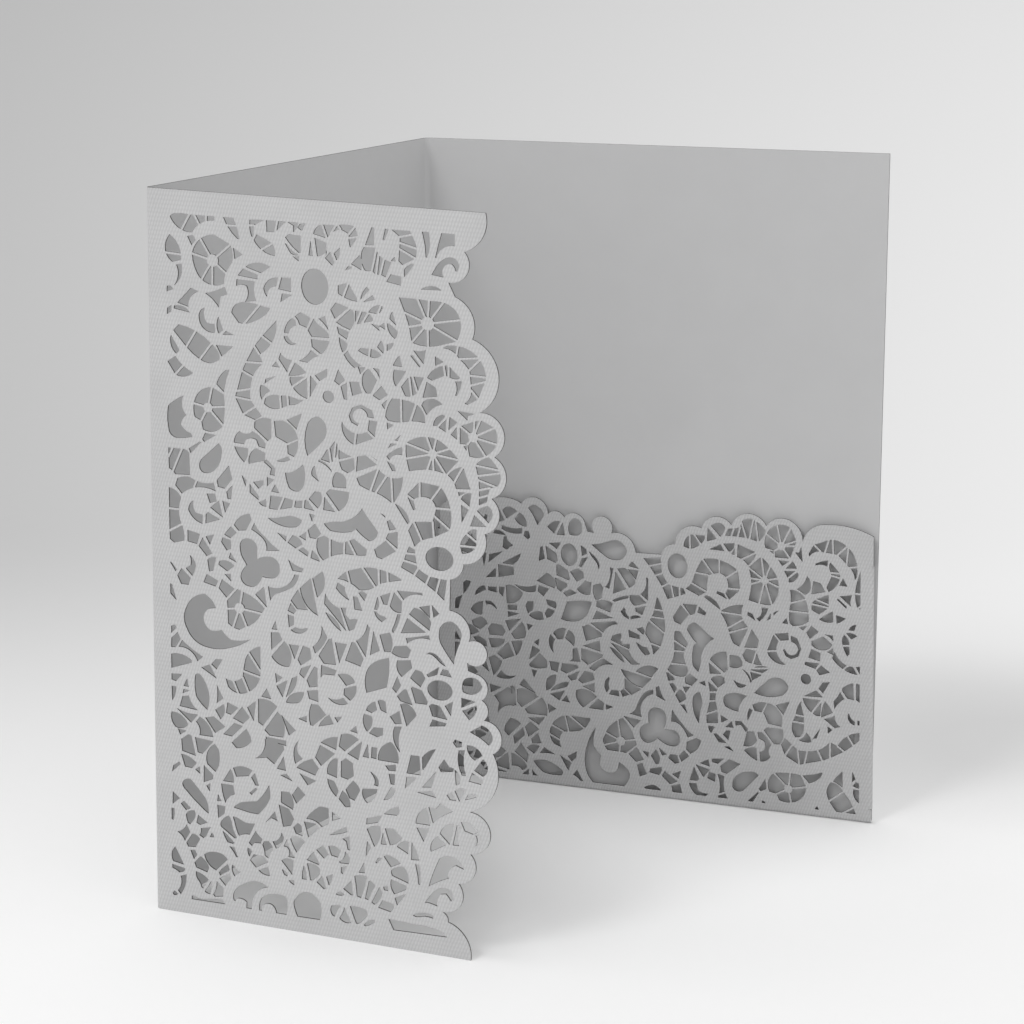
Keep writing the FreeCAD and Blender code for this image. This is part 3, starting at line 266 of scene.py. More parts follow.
CELLS: tuple[Cell, ...] = (
    # crown
    ((10.8, 167.2), (11.9, 165.1), (13, 166.4), (12.3, 167.6)),
    ((62.3, 165.3), (63.4, 165.3), (63.3, 166.3)),
    ((72.2, 162.9), (73.2, 164.6), (74.3, 166), (75.6, 166.9), (77, 167.2), (78.2, 166.7), (78.9, 165.5),
     (78.5, 164.2), (78, 164.1), (77.7, 165), (77, 165.7), (76, 165.6), (75.2, 164.9), (74.8, 163.7),
     (75.2, 162.5)),
    ((7.1, 155.2, 0.9), (9.2, 160.5), (7.8, 160.2, -0.8)),
    ((22.7, 165.3), (23, 162.7), (25.1, 163.9)),
    ((34.1, 159.2, 0.8), (30.4, 156.4, 0.2), (31.3, 154.4, -0.8), (33.6, 157.1)),
    ((34.2, 156.5), (37.4, 156.1), (37.4, 159.3), (35, 159.3)),
    ((69.6, 159.3), (74.6, 159.5, 0.2), (72.4, 160.3, 0.2)),
    ((5.2, 153.6), (7, 154.4), (6.2, 155.1), (5.3, 155)),
    ((25.6, 152.8), (28.5, 153.3, -0.4), (28.2, 157.8), (23.5, 158), (23.4, 156.4, -0.3),
     (26, 156.6, -0.6)),
    ((34.7, 153.5), (37.7, 155.4), (35.1, 155.5)),
    # shoulder
    ((8, 151.2), (10.9, 150.4), (11.4, 152.6, -0.2), (13.6, 154.3), (11.6, 155)),
    ((15.3, 154, -0.3), (18.8, 150.9), (19.4, 153.6), (21.1, 154.2), (20.4, 155.9, -0.2)),
    ((35.6, 146.3, 0.5), (37.6, 149.9), (38.4, 149.6), (38.7, 148.3), (37.6, 147.8, -0.2), (36.8, 146.3)),
    ((38.3, 150.4), (39.8, 151.5), (42.3, 150.4), (41.3, 148), (39.4, 148.6, -0.2)),
    ((44.3, 150.4), (45.9, 151.1), (46.8, 147.8, -0.2)),
    ((47.3, 152.7), (48.6, 154.5), (51.8, 153.6), (48.4, 150.7)),
    ((48.7, 149.9), (52.2, 153.2), (52.9, 153.1), (53, 149.6), (52.2, 148.4), (50.2, 149.1)),
    ((15.2, 150.6, 0.6), (13.6, 147.9, 0.6), (16, 144.9), (17.8, 144.9), (17.7, 146.9, -0.2),
     (15.6, 147.1, -0.5)),
    ((18.2, 146.8), (18.7, 144.7), (19.9, 145.6), (18.7, 148.7)),
    ((19.8, 144.5), (22.6, 144.7), (20.6, 145.5)),
    ((35.5, 145.5), (36.5, 145.6), (37.2, 144.6), (38.7, 144, 1)),
    ((39.3, 140, -0.3), (42.4, 142.8), (44.2, 141.6, -0.2), (41.5, 139.8)),
    ((41.6, 147.4), (43.1, 150.3), (43.9, 149.2), (46.7, 147.2), (47, 146.1), (42.5, 146)),
    ((42.4, 145.4), (47, 145.3, 0.2), (45.4, 142.4), (44.6, 142.2), (42.6, 143.6)),
    ((48.9, 148.9), (51.9, 147.9), (51.4, 146.1), (49.3, 147.3)),
    ((49.4, 146.5), (51.4, 145.3), (51.3, 144), (50.3, 143, 0.2)),
    ((32.4, 138.1), (34.4, 138), (33.5, 139.3)),
    ((34.6, 141.5), (36.5, 140.1), (37.6, 140.1, -0.2), (36.3, 137), (34.1, 140)),
    ((38.3, 139.5), (39.8, 138.6), (41.2, 137.4, 0.3), (36.6, 136.3)),
    ((42, 131.6), (43.9, 135), (42.2, 136.8)),
    ((43.3, 136.9), (44.5, 135.7), (46.3, 136.9), (46.5, 138.8)),
    ((45.3, 132.2, 1.4), (48.1, 132.2, 1.4)),
    ((48.2, 136), (49.4, 135.2), (50.9, 136.5), (49.2, 138.9)),
    ((49.8, 134.9), (50.6, 132), (51.4, 132), (51.4, 136)),
    ((52, 136.2), (52.7, 133), (55.1, 133.9), (54.3, 136.4)),
    ((57.8, 133.5), (59.5, 132.6), (61.5, 134), (60, 136)),
    ((69.8, 132.4), (71.1, 130.2), (72.6, 131.9), (74.9, 133.1), (73.3, 134), (70.4, 133.4)),
    ((60, 131.6), (60.7, 130.6), (61.4, 132.9)),
    ((72.7, 127.9), (73.7, 128), (75.6, 130.3), (75.2, 130.7), (73.3, 129.6)),
    ((74, 127.6), (75.7, 126.7), (75.9, 129.7)),
    ((76.4, 127.2), (78.6, 129.2), (76.7, 130.3)),
    ((78.6, 131.9), (81, 129.9), (81.1, 131), (82.7, 131.6)),
    # waist
    ((36.1, 125.7), (38.6, 123.6), (40, 127.6)),
    ((61.3, 127.5), (61.4, 125.9), (63, 127.1)),
    ((63.2, 123.5), (64, 123.5), (64.8, 125)),
    ((77, 126.2), (78.5, 125.2), (78.4, 128.1)),
    ((9.3, 129, 0.2), (5.2, 126.2), (5.2, 120.6, 0.7), (7.8, 118.6), (11.5, 119.2), (11.2, 120, -0.4),
     (8.5, 122, -0.3), (10, 124.3), (9.1, 125.6)),
    ((10.5, 116.3), (11, 115.2), (13.8, 118.1), (13.4, 118.2)),
    ((14.1, 118.9), (14.6, 118.3), (17.7, 120.2), (14.9, 120.5)),
    ((22.5, 118, 0.3), (25, 114.4), (25.9, 116), (26, 117.9)),
    ((22.4, 118.9, 0.4), (23.9, 121.8), (25.4, 121.3), (27.3, 122.1, 0.3), (30.6, 119.5), (30.5, 118.3),
     (28.8, 118.6), (28.2, 120.1, -0.4), (25.6, 119.9), (25.1, 118.8)),
    ((26.2, 114.2), (30.4, 115.4), (30.5, 117.2), (28.2, 118.1), (27, 117.2)),
    ((27.7, 122.9), (31.2, 120.1), (32.1, 121), (32.1, 125.4), (30.5, 125.6), (27.8, 124.4)),
    ((33.4, 115.6), (35.4, 115.6), (36.9, 116.2), (36.4, 117)),
    ((32.8, 125.1), (33.2, 121.4), (36.1, 120.1), (38.9, 121.4), (38.6, 122.5), (35, 125.4)),
    ((36.2, 119.6), (36.3, 117.6), (37.9, 117), (38.9, 119.4), (38.9, 121)),
    ((41.3, 117.6, 0.1), (45.3, 121.6, 0.3), (46.2, 124.6, 0.5), (44, 127.2, 0.5), (41.3, 125)),
    ((61.6, 121.5), (63.8, 122.7), (62.3, 122.7)),
    ((61.3, 118.4), (62.6, 116.2), (63.5, 116.3), (63.1, 117.6)),
    ((61.2, 119.5), (61.9, 118.7), (63, 119.9), (65.1, 120.2), (65.1, 122.1), (63.3, 121.3)),
    ((80.1, 123.8), (80.8, 122.8), (80.9, 124.1)),
    ((18.4, 118.3), (14.2, 114.4, 0.4), (13.3, 111.9, 0.4), (15, 110.8, 0.4), (17.9, 112.4, 0.3),
     (19.1, 115.8, 0.2), (19, 117.6)),
    ((17.8, 109.3), (18.1, 107.8), (19.8, 107.5), (21.9, 110), (21, 113.2)),
    ((24.3, 111.3), (25.3, 108.6), (25.6, 110.2)),
    ((27.3, 109.9), (28.7, 108.4), (30, 109.5), (30, 110.6)),
    ((30.9, 111.5), (30.9, 109.2), (32.7, 111)),
    ((30.1, 115), (30.9, 115.7), (33, 113.7), (32.9, 112), (31.6, 112.1), (32, 113.6)),
    ((32, 108.1), (34.1, 107.9), (33, 109.9)),
    ((35.6, 113, 0.2), (36.6, 109.4, 0.4), (39.3, 109, 0.2), (40.5, 111), (40.2, 115.4, -0.2), (37, 113.2)),
    ((43.2, 115.4, 0.4), (42.4, 113), (44.2, 111.7), (43.6, 113.2)),
    ((44, 116.6), (46.6, 115.3), (47.6, 114.2), (46.5, 115.9), (44.3, 117)),
    ((46, 109.2), (49.2, 105.2), (50.9, 106.7), (51.8, 110), (47, 110.2)),
    ((47.8, 110.8), (51.1, 110.9), (51.1, 113), (49.8, 114.3), (48.5, 114.4), (47.6, 112)),
    ((78.8, 112.9), (79, 112), (80.6, 113)),
    ((79.6, 110), (79.7, 105.8), (81.4, 109)),
    ((83.4, 109, 0.2), (86, 110.4, 0.3), (87.2, 108.6, 0.2), (86.2, 106.4)),
    ((11.6, 103.8, 0.4), (10.2, 101.3, 0.6), (13.9, 98.3), (14, 100.5), (12.2, 100.8, -0.4)),
    ((14.7, 98.5), (18.6, 99.9), (15.4, 101.3), (14.8, 100.8)),
    ((15.1, 105.8), (15.9, 103.6), (17.7, 104.2), (17.3, 106)),
    ((16, 102.5), (19.3, 100.4), (18.3, 104.4)),
    ((19.2, 104.5), (19.9, 101.6), (21.2, 104)),
    ((20.3, 106.8), (20.6, 105.1), (21.5, 105.1), (21.9, 108.5)),
    ((26.4, 109.4), (26.4, 107.2), (28.6, 105.7), (28.8, 106.5)),
    ((28.7, 105.1), (29.7, 104.4), (30.7, 104.3), (30.6, 106.1)),
    ((31, 101.6, -0.2), (36.5, 102.7, 0.2), (39.8, 102, 0.4), (38, 100.1, 0.2), (34.5, 100.1, 0.2)),
    ((41.7, 103.8), (42.4, 101.9), (43.1, 103.6)),
    ((41.6, 107.3), (43.8, 105.3), (44.7, 106.5), (44.6, 109.2), (43.2, 109.3)),
    ((45.3, 105.1), (48.3, 104.9), (45.6, 108.3)),
    ((45.4, 101.8, 0.2), (50, 102.7, -0.1), (52.8, 104, -0.2), (55.1, 106.5, -0.1), (57.3, 103.5, 0.1),
     (59, 101.2, 0.6), (56.8, 98.9, 0.2), (53.5, 101.4), (52.4, 100.6, 0.3), (47, 100.3, 0.1)),
    ((59.6, 105.9), (60.9, 104.9), (60.8, 105.4)),
    ((61.3, 104.1), (61.9, 102), (63.6, 102.5), (62.1, 104.5)),
    ((61, 99.9), (63.9, 97.8), (64, 101.9), (61.6, 101.2)),
    ((63.3, 108.5), (64.8, 106.3), (66.4, 104), (66.9, 104.5), (64.2, 108.2)),
    ((82.8, 107.9), (81.8, 105.2), (85.6, 105.5)),
    # hip
    ((9.9, 93.6), (12.4, 93.2), (13.2, 95.7), (9.9, 96.4)),
    ((12.8, 92.8), (14.9, 90.5), (16.4, 91.3), (13.9, 95)),
    ((14.7, 95.3), (15.8, 93.4), (16.9, 96)),
    ((18.8, 94.4), (20.2, 92.5), (21.4, 93.1), (21.3, 95.1), (19.2, 95.6)),
    ((19.6, 96.3), (21.2, 95.6), (22.9, 97.1), (21.4, 98.5)),
    ((22.2, 98.9), (23.3, 97.7), (25.4, 98), (26.8, 100.7), (26.3, 102.1), (24.5, 101.5)),
    ((26.7, 98.3), (27.5, 100, -0.3), (30.2, 97, -0.2), (34, 94), (30.6, 93.6), (29.9, 96.2, -0.2)),
    ((33.4, 98.3), (35.7, 96.4), (35.8, 97.7)),
    ((36.1, 96.2), (38.2, 95), (39.9, 96.2), (38.6, 97.8), (37.4, 98.1)),
    ((39.1, 98), (40.8, 97.2), (40.9, 99.3)),
    ((38.8, 94.7), (41.2, 93.4), (41.5, 94.5), (40.1, 95.5)),
    ((41.3, 99.8), (41.8, 98), (43.4, 97.9), (44.7, 99.3), (43.2, 101.5)),
    ((42, 93.1), (44.3, 92.5), (43.8, 93.8), (42.4, 95)),
    ((58.1, 97), (58.7, 95.3), (60, 94.9), (63.5, 97.2), (61, 99.4)),
    ((5.1, 88), (6.6, 85.8), (6.9, 86.4), (5.5, 88)),
    ((7, 84.9), (8, 82.9), (10, 82.9), (10.6, 84.6), (8.2, 86.8)),
    ((10.4, 90.3, 0.3), (12, 88, 0.2), (11, 85.2), (9.3, 86.9), (10.6, 87.8, -0.2)),
    ((14, 84), (17.2, 83.3), (17.9, 84.8), (14.9, 86.1)),
    ((15.1, 89.6), (15.5, 86.8), (16.6, 87.2), (17.4, 90.4), (16.6, 90.5)),
    ((18, 88.8), (20.3, 87.4), (22.2, 88.9), (20.6, 89.9), (18.3, 89.7)),
    ((19.6, 86.6), (21.3, 85), (21.2, 86.9)),
    ((20.7, 90.7), (22.8, 89.8), (21.2, 92.1)),
    ((24.9, 90.3, 0.3), (23.7, 93.5, 0.8), (25.8, 96, 0.8), (28.2, 93.6), (28.2, 91.2, 0.3),
     (31.6, 92.2, 0.7), (34, 89.7, 0.8), (31.8, 87), (29.4, 87.1, 0.1), (28.7, 85.6, 0.5),
     (25.9, 84.4, 0.6), (23.8, 86.6, 0.3), (25.4, 89.4)),
    ((30.9, 85), (31.5, 81.5), (33.3, 83.5, 0.1), (37.2, 85.4, 0.3), (39, 88.6), (37.8, 88.6),
     (36, 85.9, -0.1), (34, 84.9)),
    ((36.2, 92.1), (37.3, 89.5), (39.7, 89.4), (40.2, 90.3), (38, 91)),
    ((42.4, 88.2), (43.6, 83.7), (45.6, 88.3), (45, 90.2)),
    ((48.9, 88), (48.4, 86.6, 0.3), (51.8, 84), (50.9, 85.7, -0.2), (50.8, 87)),
    ((54.1, 86.1), (55.6, 84.3), (56.3, 86), (55, 86.7)),
    ((59.6, 86), (60.4, 84.1), (61.4, 84.1), (62.2, 87.1)),
    ((62, 83.9), (63.5, 82.6), (64.9, 82.6), (65, 85.3), (63.1, 87.3)),
    ((63.8, 87.8), (65.4, 85.7), (66.6, 86.8), (70.2, 87.4), (70, 88)),
    ((5.1, 82.7), (5.1, 80.2), (6.7, 78.7), (6.2, 80.5), (5.6, 82.5)),
    ((18, 83), (20, 80.9), (22.2, 83.3), (18.9, 85.3)),
    ((27.6, 82.6), (30.6, 79.7), (29.9, 84.7)),
    ((36, 78.7), (36.3, 75.6), (37.6, 76.4), (37.6, 78.4)),
    ((36, 79.6), (37.5, 79), (38.3, 79.9), (36.8, 81.6)),
    ((36.8, 82.2), (38.4, 80.3), (41.2, 80.4), (38.7, 85.1)),
    ((39.2, 85.5), (42, 80.3), (43.8, 79.3), (42, 88.2)),
    ((45.7, 80.4, 0.4), (49.7, 76.2), (46.1, 80.3)),
    ((45.7, 85), (45.4, 82.4), (51, 76.4), (49.3, 81.8), (46.8, 83.2)),
    ((49.6, 82), (51.7, 76.6), (53, 77.2), (53.9, 79.6), (53.3, 79.7), (52, 79.3), (50.8, 80.4),
     (51.1, 82.1)),
    ((52.8, 85.1), (53.1, 82), (55.1, 81.9), (53.9, 85.1)),
    ((58.1, 82.6), (58.8, 82.6), (59.3, 84.7), (58.9, 85.7)),
    ((58.1, 82.1, 0.4), (60, 79.8), (61.2, 80.7), (60.7, 81.2, -0.3), (58.7, 82.1)),
    ((63.9, 82.1), (64.7, 82.2, 0.3), (62.8, 77.4), (62.5, 78.1, -0.1)),
    ((64.8, 77.7), (71, 78.6), (66.4, 81.5)),
    ((66, 76.6), (66.4, 75.4), (68.4, 76.7), (72, 77), (71.8, 78)),
    ((66.8, 82.5), (71.9, 79.1), (72.3, 81.1), (68.9, 84.1), (68.1, 84.2)),
    ((69.3, 84.5), (72, 82.2), (71.9, 85.2)),
    ((72.4, 85.4), (72.9, 82.4), (74.3, 83.5)),
    ((77.9, 71.8, 0.1), (74.6, 76.4, 0.3), (74.4, 80, 0.5), (77.2, 82, 0.5), (79.8, 79.3, 0.1),
     (79.3, 76.9, -0.2)),
    ((17.2, 78, 0.5), (14.2, 81.1, 0.9), (9.3, 77.2, 0.7), (9.4, 72, 0.8), (14.2, 68.1, 0.5),
     (21, 68.7, 0.3), (26.3, 71.4, -0.3), (21.2, 70.6, -0.2), (18.7, 72.8, -0.2), (15.8, 72.3, -0.5),
     (13.9, 75.2, -0.6), (16, 77.8)),
    ((31.8, 74.6), (33.3, 74.6), (32.8, 76.7)),
    ((31.6, 73.8), (31.7, 69.5), (34.6, 72.3), (33.7, 74)),
    ((36.7, 75, 1), (41.2, 75.8), (40.6, 75.9, -0.3), (38, 75.8)),
    ((42.4, 71.6), (43, 70), (44.3, 71.2), (46.2, 74.3), (44.7, 77), (44.3, 74)),
    ((53.5, 74.4), (55.9, 70.7), (57, 78), (56.3, 78.8), (55.5, 76.3)),
    ((57, 71.4), (59.5, 72.8), (57.9, 77.4)),
    ((59.4, 76.6), (60.6, 72.7), (62.2, 72.8), (62.7, 75), (62, 77.5)),
    ((62.4, 72.6), (64, 71.9), (66.6, 72), (67.3, 73.9), (66.2, 74.8), (63.2, 74.3)),
    ((71, 73.3), (71.8, 73.9), (73.5, 73.6, 0.2), (75.9, 71), (74.2, 72, -0.1), (72.4, 73.4)),
    # knee
    ((5.2, 70.4), (6.6, 71.9), (6.2, 72.6), (5.2, 72.2)),
    ((5.1, 66.9), (6.3, 67), (7.7, 69.2), (6.9, 70.8), (5.2, 69.2)),
    ((36.3, 71.4), (37.7, 67.9), (39, 71.4)),
    ((38.5, 67.9), (39.3, 66.6), (42.1, 68.6), (41.7, 71.1), (39.9, 71.5)),
    ((43.9, 69.6), (45.2, 67.8), (48.4, 67.9), (47.3, 74.2), (46.6, 74)),
    ((48.1, 73.4), (49.2, 68.4), (51.2, 73.3)),
    ((50.7, 69.3), (54.6, 68.3), (55.4, 70.2), (53.3, 73.9), (52.4, 74)),
    ((63.9, 71), (63.8, 68.8), (65, 67.1), (67.6, 69.6), (67.2, 71.4)),
    ((71.2, 68.5), (71.6, 67.9), (73.8, 68.8), (74.3, 70.7)),
    ((74.5, 68.9), (77.4, 68.6), (76.5, 70.2), (75.2, 70.3)),
    ((5.1, 61.7), (10.6, 63.7), (10.5, 64.3), (8, 65.4), (5.1, 65.2)),
    ((7.1, 67.2), (8.1, 69, -0.2), (13.6, 65.5), (12.1, 64.2), (10.6, 66.3)),
    ((13.1, 62.8), (17.2, 60.5), (15.4, 63.8)),
    ((15.8, 63.9), (17.2, 62.8), (18.8, 65.5), (17, 65.3)),
    ((32.6, 63.9), (32.9, 61.5), (34.6, 63)),
    ((32.9, 60.8), (34.5, 58.1), (35.9, 62.6)),
    ((31.7, 67.9), (34, 66), (36.3, 65.9), (36.9, 67.8), (35.1, 72)),
    ((35.4, 58.3), (38, 61.6), (38.4, 63.9), (37, 63.2)),
    ((38.9, 64.5), (40.1, 63.5), (42, 67.1), (39.4, 65.9)),
    ((40.8, 63.2), (41.5, 61.5), (43.6, 62), (43.6, 66.5), (42.8, 66.8)),
    ((44.4, 64.3), (45.2, 65.2), (48, 65.3), (48.5, 66.6), (44.6, 67.4)),
    ((48.8, 65.6), (50.9, 63.1), (53.2, 64.2), (52.2, 65.6), (50.4, 66)),
    ((50.4, 62.4), (50.3, 60.8), (51.9, 59.6), (53.3, 61.3), (53.5, 63.5)),
    ((56.1, 62.1), (61.2, 64.1, 0.3), (61.8, 71.3, 0.2), (57.8, 69.6, 0.3), (55.9, 66.5)),
    ((62.6, 64), (63.6, 63), (64.8, 65), (63.9, 67.1)),
    ((63.8, 62.3), (64.6, 61.2), (67.7, 60.6), (66.2, 64.2), (65.6, 64.2)),
    ((67.1, 67.1), (69.7, 65.2), (70.9, 67.5), (70, 69), (68.4, 69.3)),
    ((67.3, 64.7), (68.4, 61.2), (71.2, 61.2), (71.5, 61.9), (70, 64.5), (67.6, 65.1)),
    ((71.8, 61), (72.6, 58.6), (76.4, 58.2), (74.5, 61.3), (72.5, 61.6)),
    ((75.7, 61.5), (77.2, 59.2), (77.7, 62.8)),
    ((79.8, 64), (79.8, 61.6), (83.3, 63.5), (81.5, 63.8)),
    ((80.1, 65.5), (83, 65.3, 0.3), (84.9, 67.2, 0.8), (81.8, 69.1, 0.5), (80, 67.2)),
    ((80, 60.9), (81.7, 58.9), (83.3, 60.8), (83.6, 62.7)),
    ((5.1, 57.2), (5.2, 53.6), (6, 55), (6.3, 57.2)),
    ((5.1, 60.3), (5.1, 58.8), (6.3, 58.5), (8, 60.5)),
    ((8, 55.7), (9.9, 56.6), (8.3, 56.8)),
    ((8.3, 57.6), (9.7, 57.5), (9.3, 59.6)),
    ((7.2, 52.4), (12.1, 51.9), (10.3, 53.8), (9.7, 55.3), (8, 55)),
    ((11.5, 60.8, 0.3), (11.7, 55.3, 0.2), (14.6, 52.4, 0.3), (15.1, 56.5, 0.3), (13.2, 60.6, 0.1),
     (12.2, 61.2)),
    ((17.2, 59, -0.2), (17.1, 54.4), (18.9, 55.8)),
    ((16.7, 52.7), (18.1, 50.5), (19.3, 52.8), (19, 54.4)),
    ((19.6, 52.3), (20.9, 52), (22.9, 54), (20, 55)),
    ((25.2, 54.4), (26.9, 51.2), (27.5, 56.3)),
    ((28.1, 56.9), (28.1, 51.1), (29.3, 50.4), (33.1, 55.6), (31.2, 56.8)),
    ((29, 57.6), (31.6, 57.3), (30.4, 59.8)),
    ((35.4, 57, 0.2), (38.8, 57.4, 0.3), (40.1, 60.1, 0.1), (37.6, 59.6)),
    ((38.6, 53.4), (40.8, 52.8), (40.7, 54.4)),
    ((40.9, 60.6), (41.4, 58.7), (43.8, 58.2), (43.7, 61.1)),
    ((41.4, 55.5), (41.7, 52.2), (42.4, 52.2), (45.8, 55.3), (43.8, 57.5), (42, 57.5)),
    ((43.8, 52.2), (47.7, 53.3), (46.6, 55.5), (45.2, 54.3)),
    ((46.1, 59.8, 1), (51.4, 58.8), (50.2, 60.1, -0.3), (46.9, 59.4)),
    ((47.9, 55), (48.7, 53.8), (49.9, 55.4)),
    ((51.9, 52.2), (53.8, 51.8), (53.4, 53.6)),
    ((55.3, 54.3), (56.2, 52.6), (57.5, 54.5), (57.4, 56.5), (55.5, 56.9)),
    ((56, 57.8), (57.4, 57.3), (58.8, 58.3), (58.3, 60.2), (56.8, 59.3)),
    ((56.7, 52.3), (58.8, 51.6), (60.2, 52.3), (60.3, 54), (58, 53.9)),
    ((58.9, 60.5), (59.7, 58.3), (61.2, 57.8), (60.9, 60.5), (59.5, 60.8)),
    ((62, 57.1), (63.3, 55.4), (65, 55.8), (64.4, 58.8)),
    ((63.2, 54.8), (62.8, 52.1), (64.6, 48.6), (64.2, 51.5), (65, 55)),
    ((64.6, 60.4), (66.2, 55.2), (68.7, 58.2), (67.4, 60.2), (65.8, 60.9)),
    ((71.9, 56), (75.8, 56.6), (76.2, 57.3), (72.7, 57.8)),
    ((77.7, 52.9), (78.6, 51.8), (79.9, 52.1), (80, 53.3), (78.3, 53.7)),
    ((81.9, 56), (84.8, 58, 0.6), (87.5, 55.4, 0.3), (86.5, 53.4), (84.2, 55)),
    ((5, 50.7), (5.2, 48), (6, 47), (8.5, 47.2), (9.4, 48), (6.6, 50.6)),
    ((6.6, 46.7), (7.2, 45.2), (8.9, 46.4)),
    ((6.3, 51.8), (10.2, 48.6), (12.1, 50.9), (9, 51)),
    ((11.5, 49), (12.3, 48), (12.4, 45.8), (16.1, 45.8), (13.7, 49.8), (12.6, 50.4)),
    ((14, 50.4), (16.6, 46.9), (19.4, 48.8), (16.3, 51)),
    ((18.8, 46.9), (21.1, 46.6), (24, 49.6), (21.8, 50.1)),
    ((21, 45.1), (22.2, 43.9, 0.5), (26.2, 46, 0.3), (24.9, 49)),
    ((21.4, 51.2), (24.1, 50.2), (25.9, 52), (23.9, 54.4)),
    ((29.7, 49.4), (31, 48.2), (34.6, 48.2), (34.9, 49), (33.2, 54.4)),
    ((30, 47.8), (30.2, 46.9), (35.4, 46.2), (35.4, 47.5)),
    ((34.1, 53.8), (36.1, 48.9), (37.9, 50.4)),
    ((44.3, 48.3), (48.3, 47), (48.8, 50.2), (46.2, 49.6)),
    ((49, 48), (50.5, 47), (54.1, 50.3), (51, 51.4), (49.6, 51)),
    ((51.2, 46.5), (54, 45.3), (55, 50.1)),
    ((55.1, 46.3), (56.7, 46.2), (56.4, 49.6)),
    ((57.2, 46.3), (58.6, 46.2), (58.8, 49), (57.4, 49)),
    ((59, 46), (64.1, 45.9), (64.2, 47.4), (62.3, 50.9), (60, 49.4)),
    ((66.2, 43.8), (69.8, 43.8), (69.4, 48.4), (67.3, 48.4)),
    ((70.2, 45.3), (70.5, 45.3), (73.5, 50.7), (72.4, 50.3), (70.1, 48.2)),
    ((74.2, 46.4), (74.8, 45.3), (77.8, 45.8), (78, 46.6), (76.9, 46.8), (75.6, 48.5)),
    ((79.2, 51.2), (79.1, 47.6), (80, 45.2), (81, 45.3), (80.4, 48.6), (80.7, 51.4)),
    ((81.2, 52.7), (81.9, 50.3), (83.2, 49.3), (85, 50.7), (82.6, 52.7)),
    ((83, 46.8), (85.2, 45.6), (86.1, 46.5), (85.9, 49.2), (85.2, 49.9)),
    # hem
    ((29.8, 47.2), (29.4, 44.3), (27.2, 42), (30.2, 42.6), (32.2, 41.2), (34.9, 45.3), (34.6, 46.2)),
    ((38.6, 48, 0.3), (37.3, 45), (37.7, 42.1), (39.7, 43.7), (38.3, 45.3, -0.2)),
    ((42.9, 44.4), (44.4, 42.5), (48, 46), (44.2, 47.7)),
    ((60.8, 44.9), (61.7, 43.8), (63.5, 43.9), (63.5, 45.5)),
    ((78.5, 42.6), (79.5, 43.2), (78.9, 45.8), (78.2, 46.4)),
    ((81.7, 44), (84.7, 43.6), (85.2, 44.8), (82.5, 46.2)),
    ((4.9, 35.6), (7.2, 37.8), (6.9, 38.4), (5.2, 37.2)),
    ((7.5, 44.2), (7.7, 41.2), (11.4, 40.4), (10.2, 45.4), (9.4, 45.6)),
    ((7.4, 40.4), (8.4, 37.3), (10.3, 37.2), (11.6, 38.6), (10.2, 39.7)),
    ((11.1, 37), (12.5, 36), (12.4, 37.9)),
    ((11.2, 45.1), (11.9, 41.4), (13.2, 41.2), (16.1, 44.7)),
    ((14.2, 40.8), (14.4, 38.8), (16.6, 37.1), (17.7, 39.8, 0.1), (17.6, 42.5, 0.1), (16.5, 44.1)),
    ((18.6, 35.1), (21.4, 35.1), (21.5, 35.9), (20.6, 38.4)),
    ((21.3, 38.8), (22.1, 36.7), (25.4, 37.3), (26.4, 38.8), (23.8, 39.5)),
    ((26.1, 37.1), (27.2, 35.2), (28.1, 35.3), (27.1, 38.3)),
    ((32.9, 40.2), (35.3, 40), (34.7, 43.5)),
    ((33.8, 38.7), (37, 37.6), (35.4, 39.3)),
    ((38.8, 39.9), (40.9, 37.2), (43.1, 38.6)),
    ((38, 41.2), (42.9, 39.9), (43.8, 41.8), (42.2, 43.9), (41, 43.5)),
    ((46, 40.8), (48.5, 40.1), (48.7, 44.9), (47.9, 44.9), (46.1, 42.5)),
    ((46, 39.6), (46.5, 37.6), (48.3, 35.4), (48.9, 37), (47.8, 39.2)),
    ((49.5, 40.5), (51.3, 40.1), (52.8, 41.2), (52.6, 44.3), (50.8, 45.3), (49.6, 44.4)),
    ((50.7, 37.6), (51.6, 35.6), (53, 35.1), (54.4, 37.8), (54, 38.8), (52.6, 40)),
    ((55, 36.8), (56.2, 35), (57.8, 36.2), (58.8, 38.8), (55.1, 38.4)),
    ((56.9, 42.9, 0.4), (59.1, 40.9), (59, 39.5), (58, 39.7), (58.1, 41.2, -0.1)),
    ((60.4, 36.4), (62.8, 37.8), (63.4, 39.4), (62.3, 39.8)),
    ((61.7, 43), (62.2, 40.5), (63.2, 40.5), (63.3, 43.1)),
    ((65.8, 40), (68.5, 42.7), (68.4, 43.1), (66.2, 42.9)),
    ((68.8, 39.5), (73.6, 38.8), (72.6, 40.3)),
    ((70.1, 40.9), (72.4, 41.2), (73.6, 45.3)),
    ((76.2, 39.9), (77, 38.8), (78.6, 38.8), (77.6, 40.8)),
    ((78.2, 41.2), (79.4, 38.7), (80.9, 41.8), (79.7, 42.1)),
    ((80.8, 39.3), (83.6, 40.4), (83.5, 41.1), (81.5, 40.7)),
    ((5, 30.6), (4.9, 27.4), (6.9, 29.1)),
    ((7.6, 32.9, 0.6), (9.9, 34.3, 0.1), (13.9, 30, 0.3), (14.6, 26.3, 0.1), (12.1, 28.2, 0.1),
     (8.7, 31.3, 0.2)),
    ((13.5, 38.4), (13.4, 34.1), (15.9, 35.2), (16, 36.2)),
    ((14.1, 33.3), (15, 31.9), (15.2, 34.1)),
    ((17.2, 31.6), (17, 29.8), (18.1, 30)),
    ((18.1, 34.4), (18.6, 31.3), (19.2, 29.6), (20.3, 31.4), (21.7, 32.2), (21.3, 34.4)),
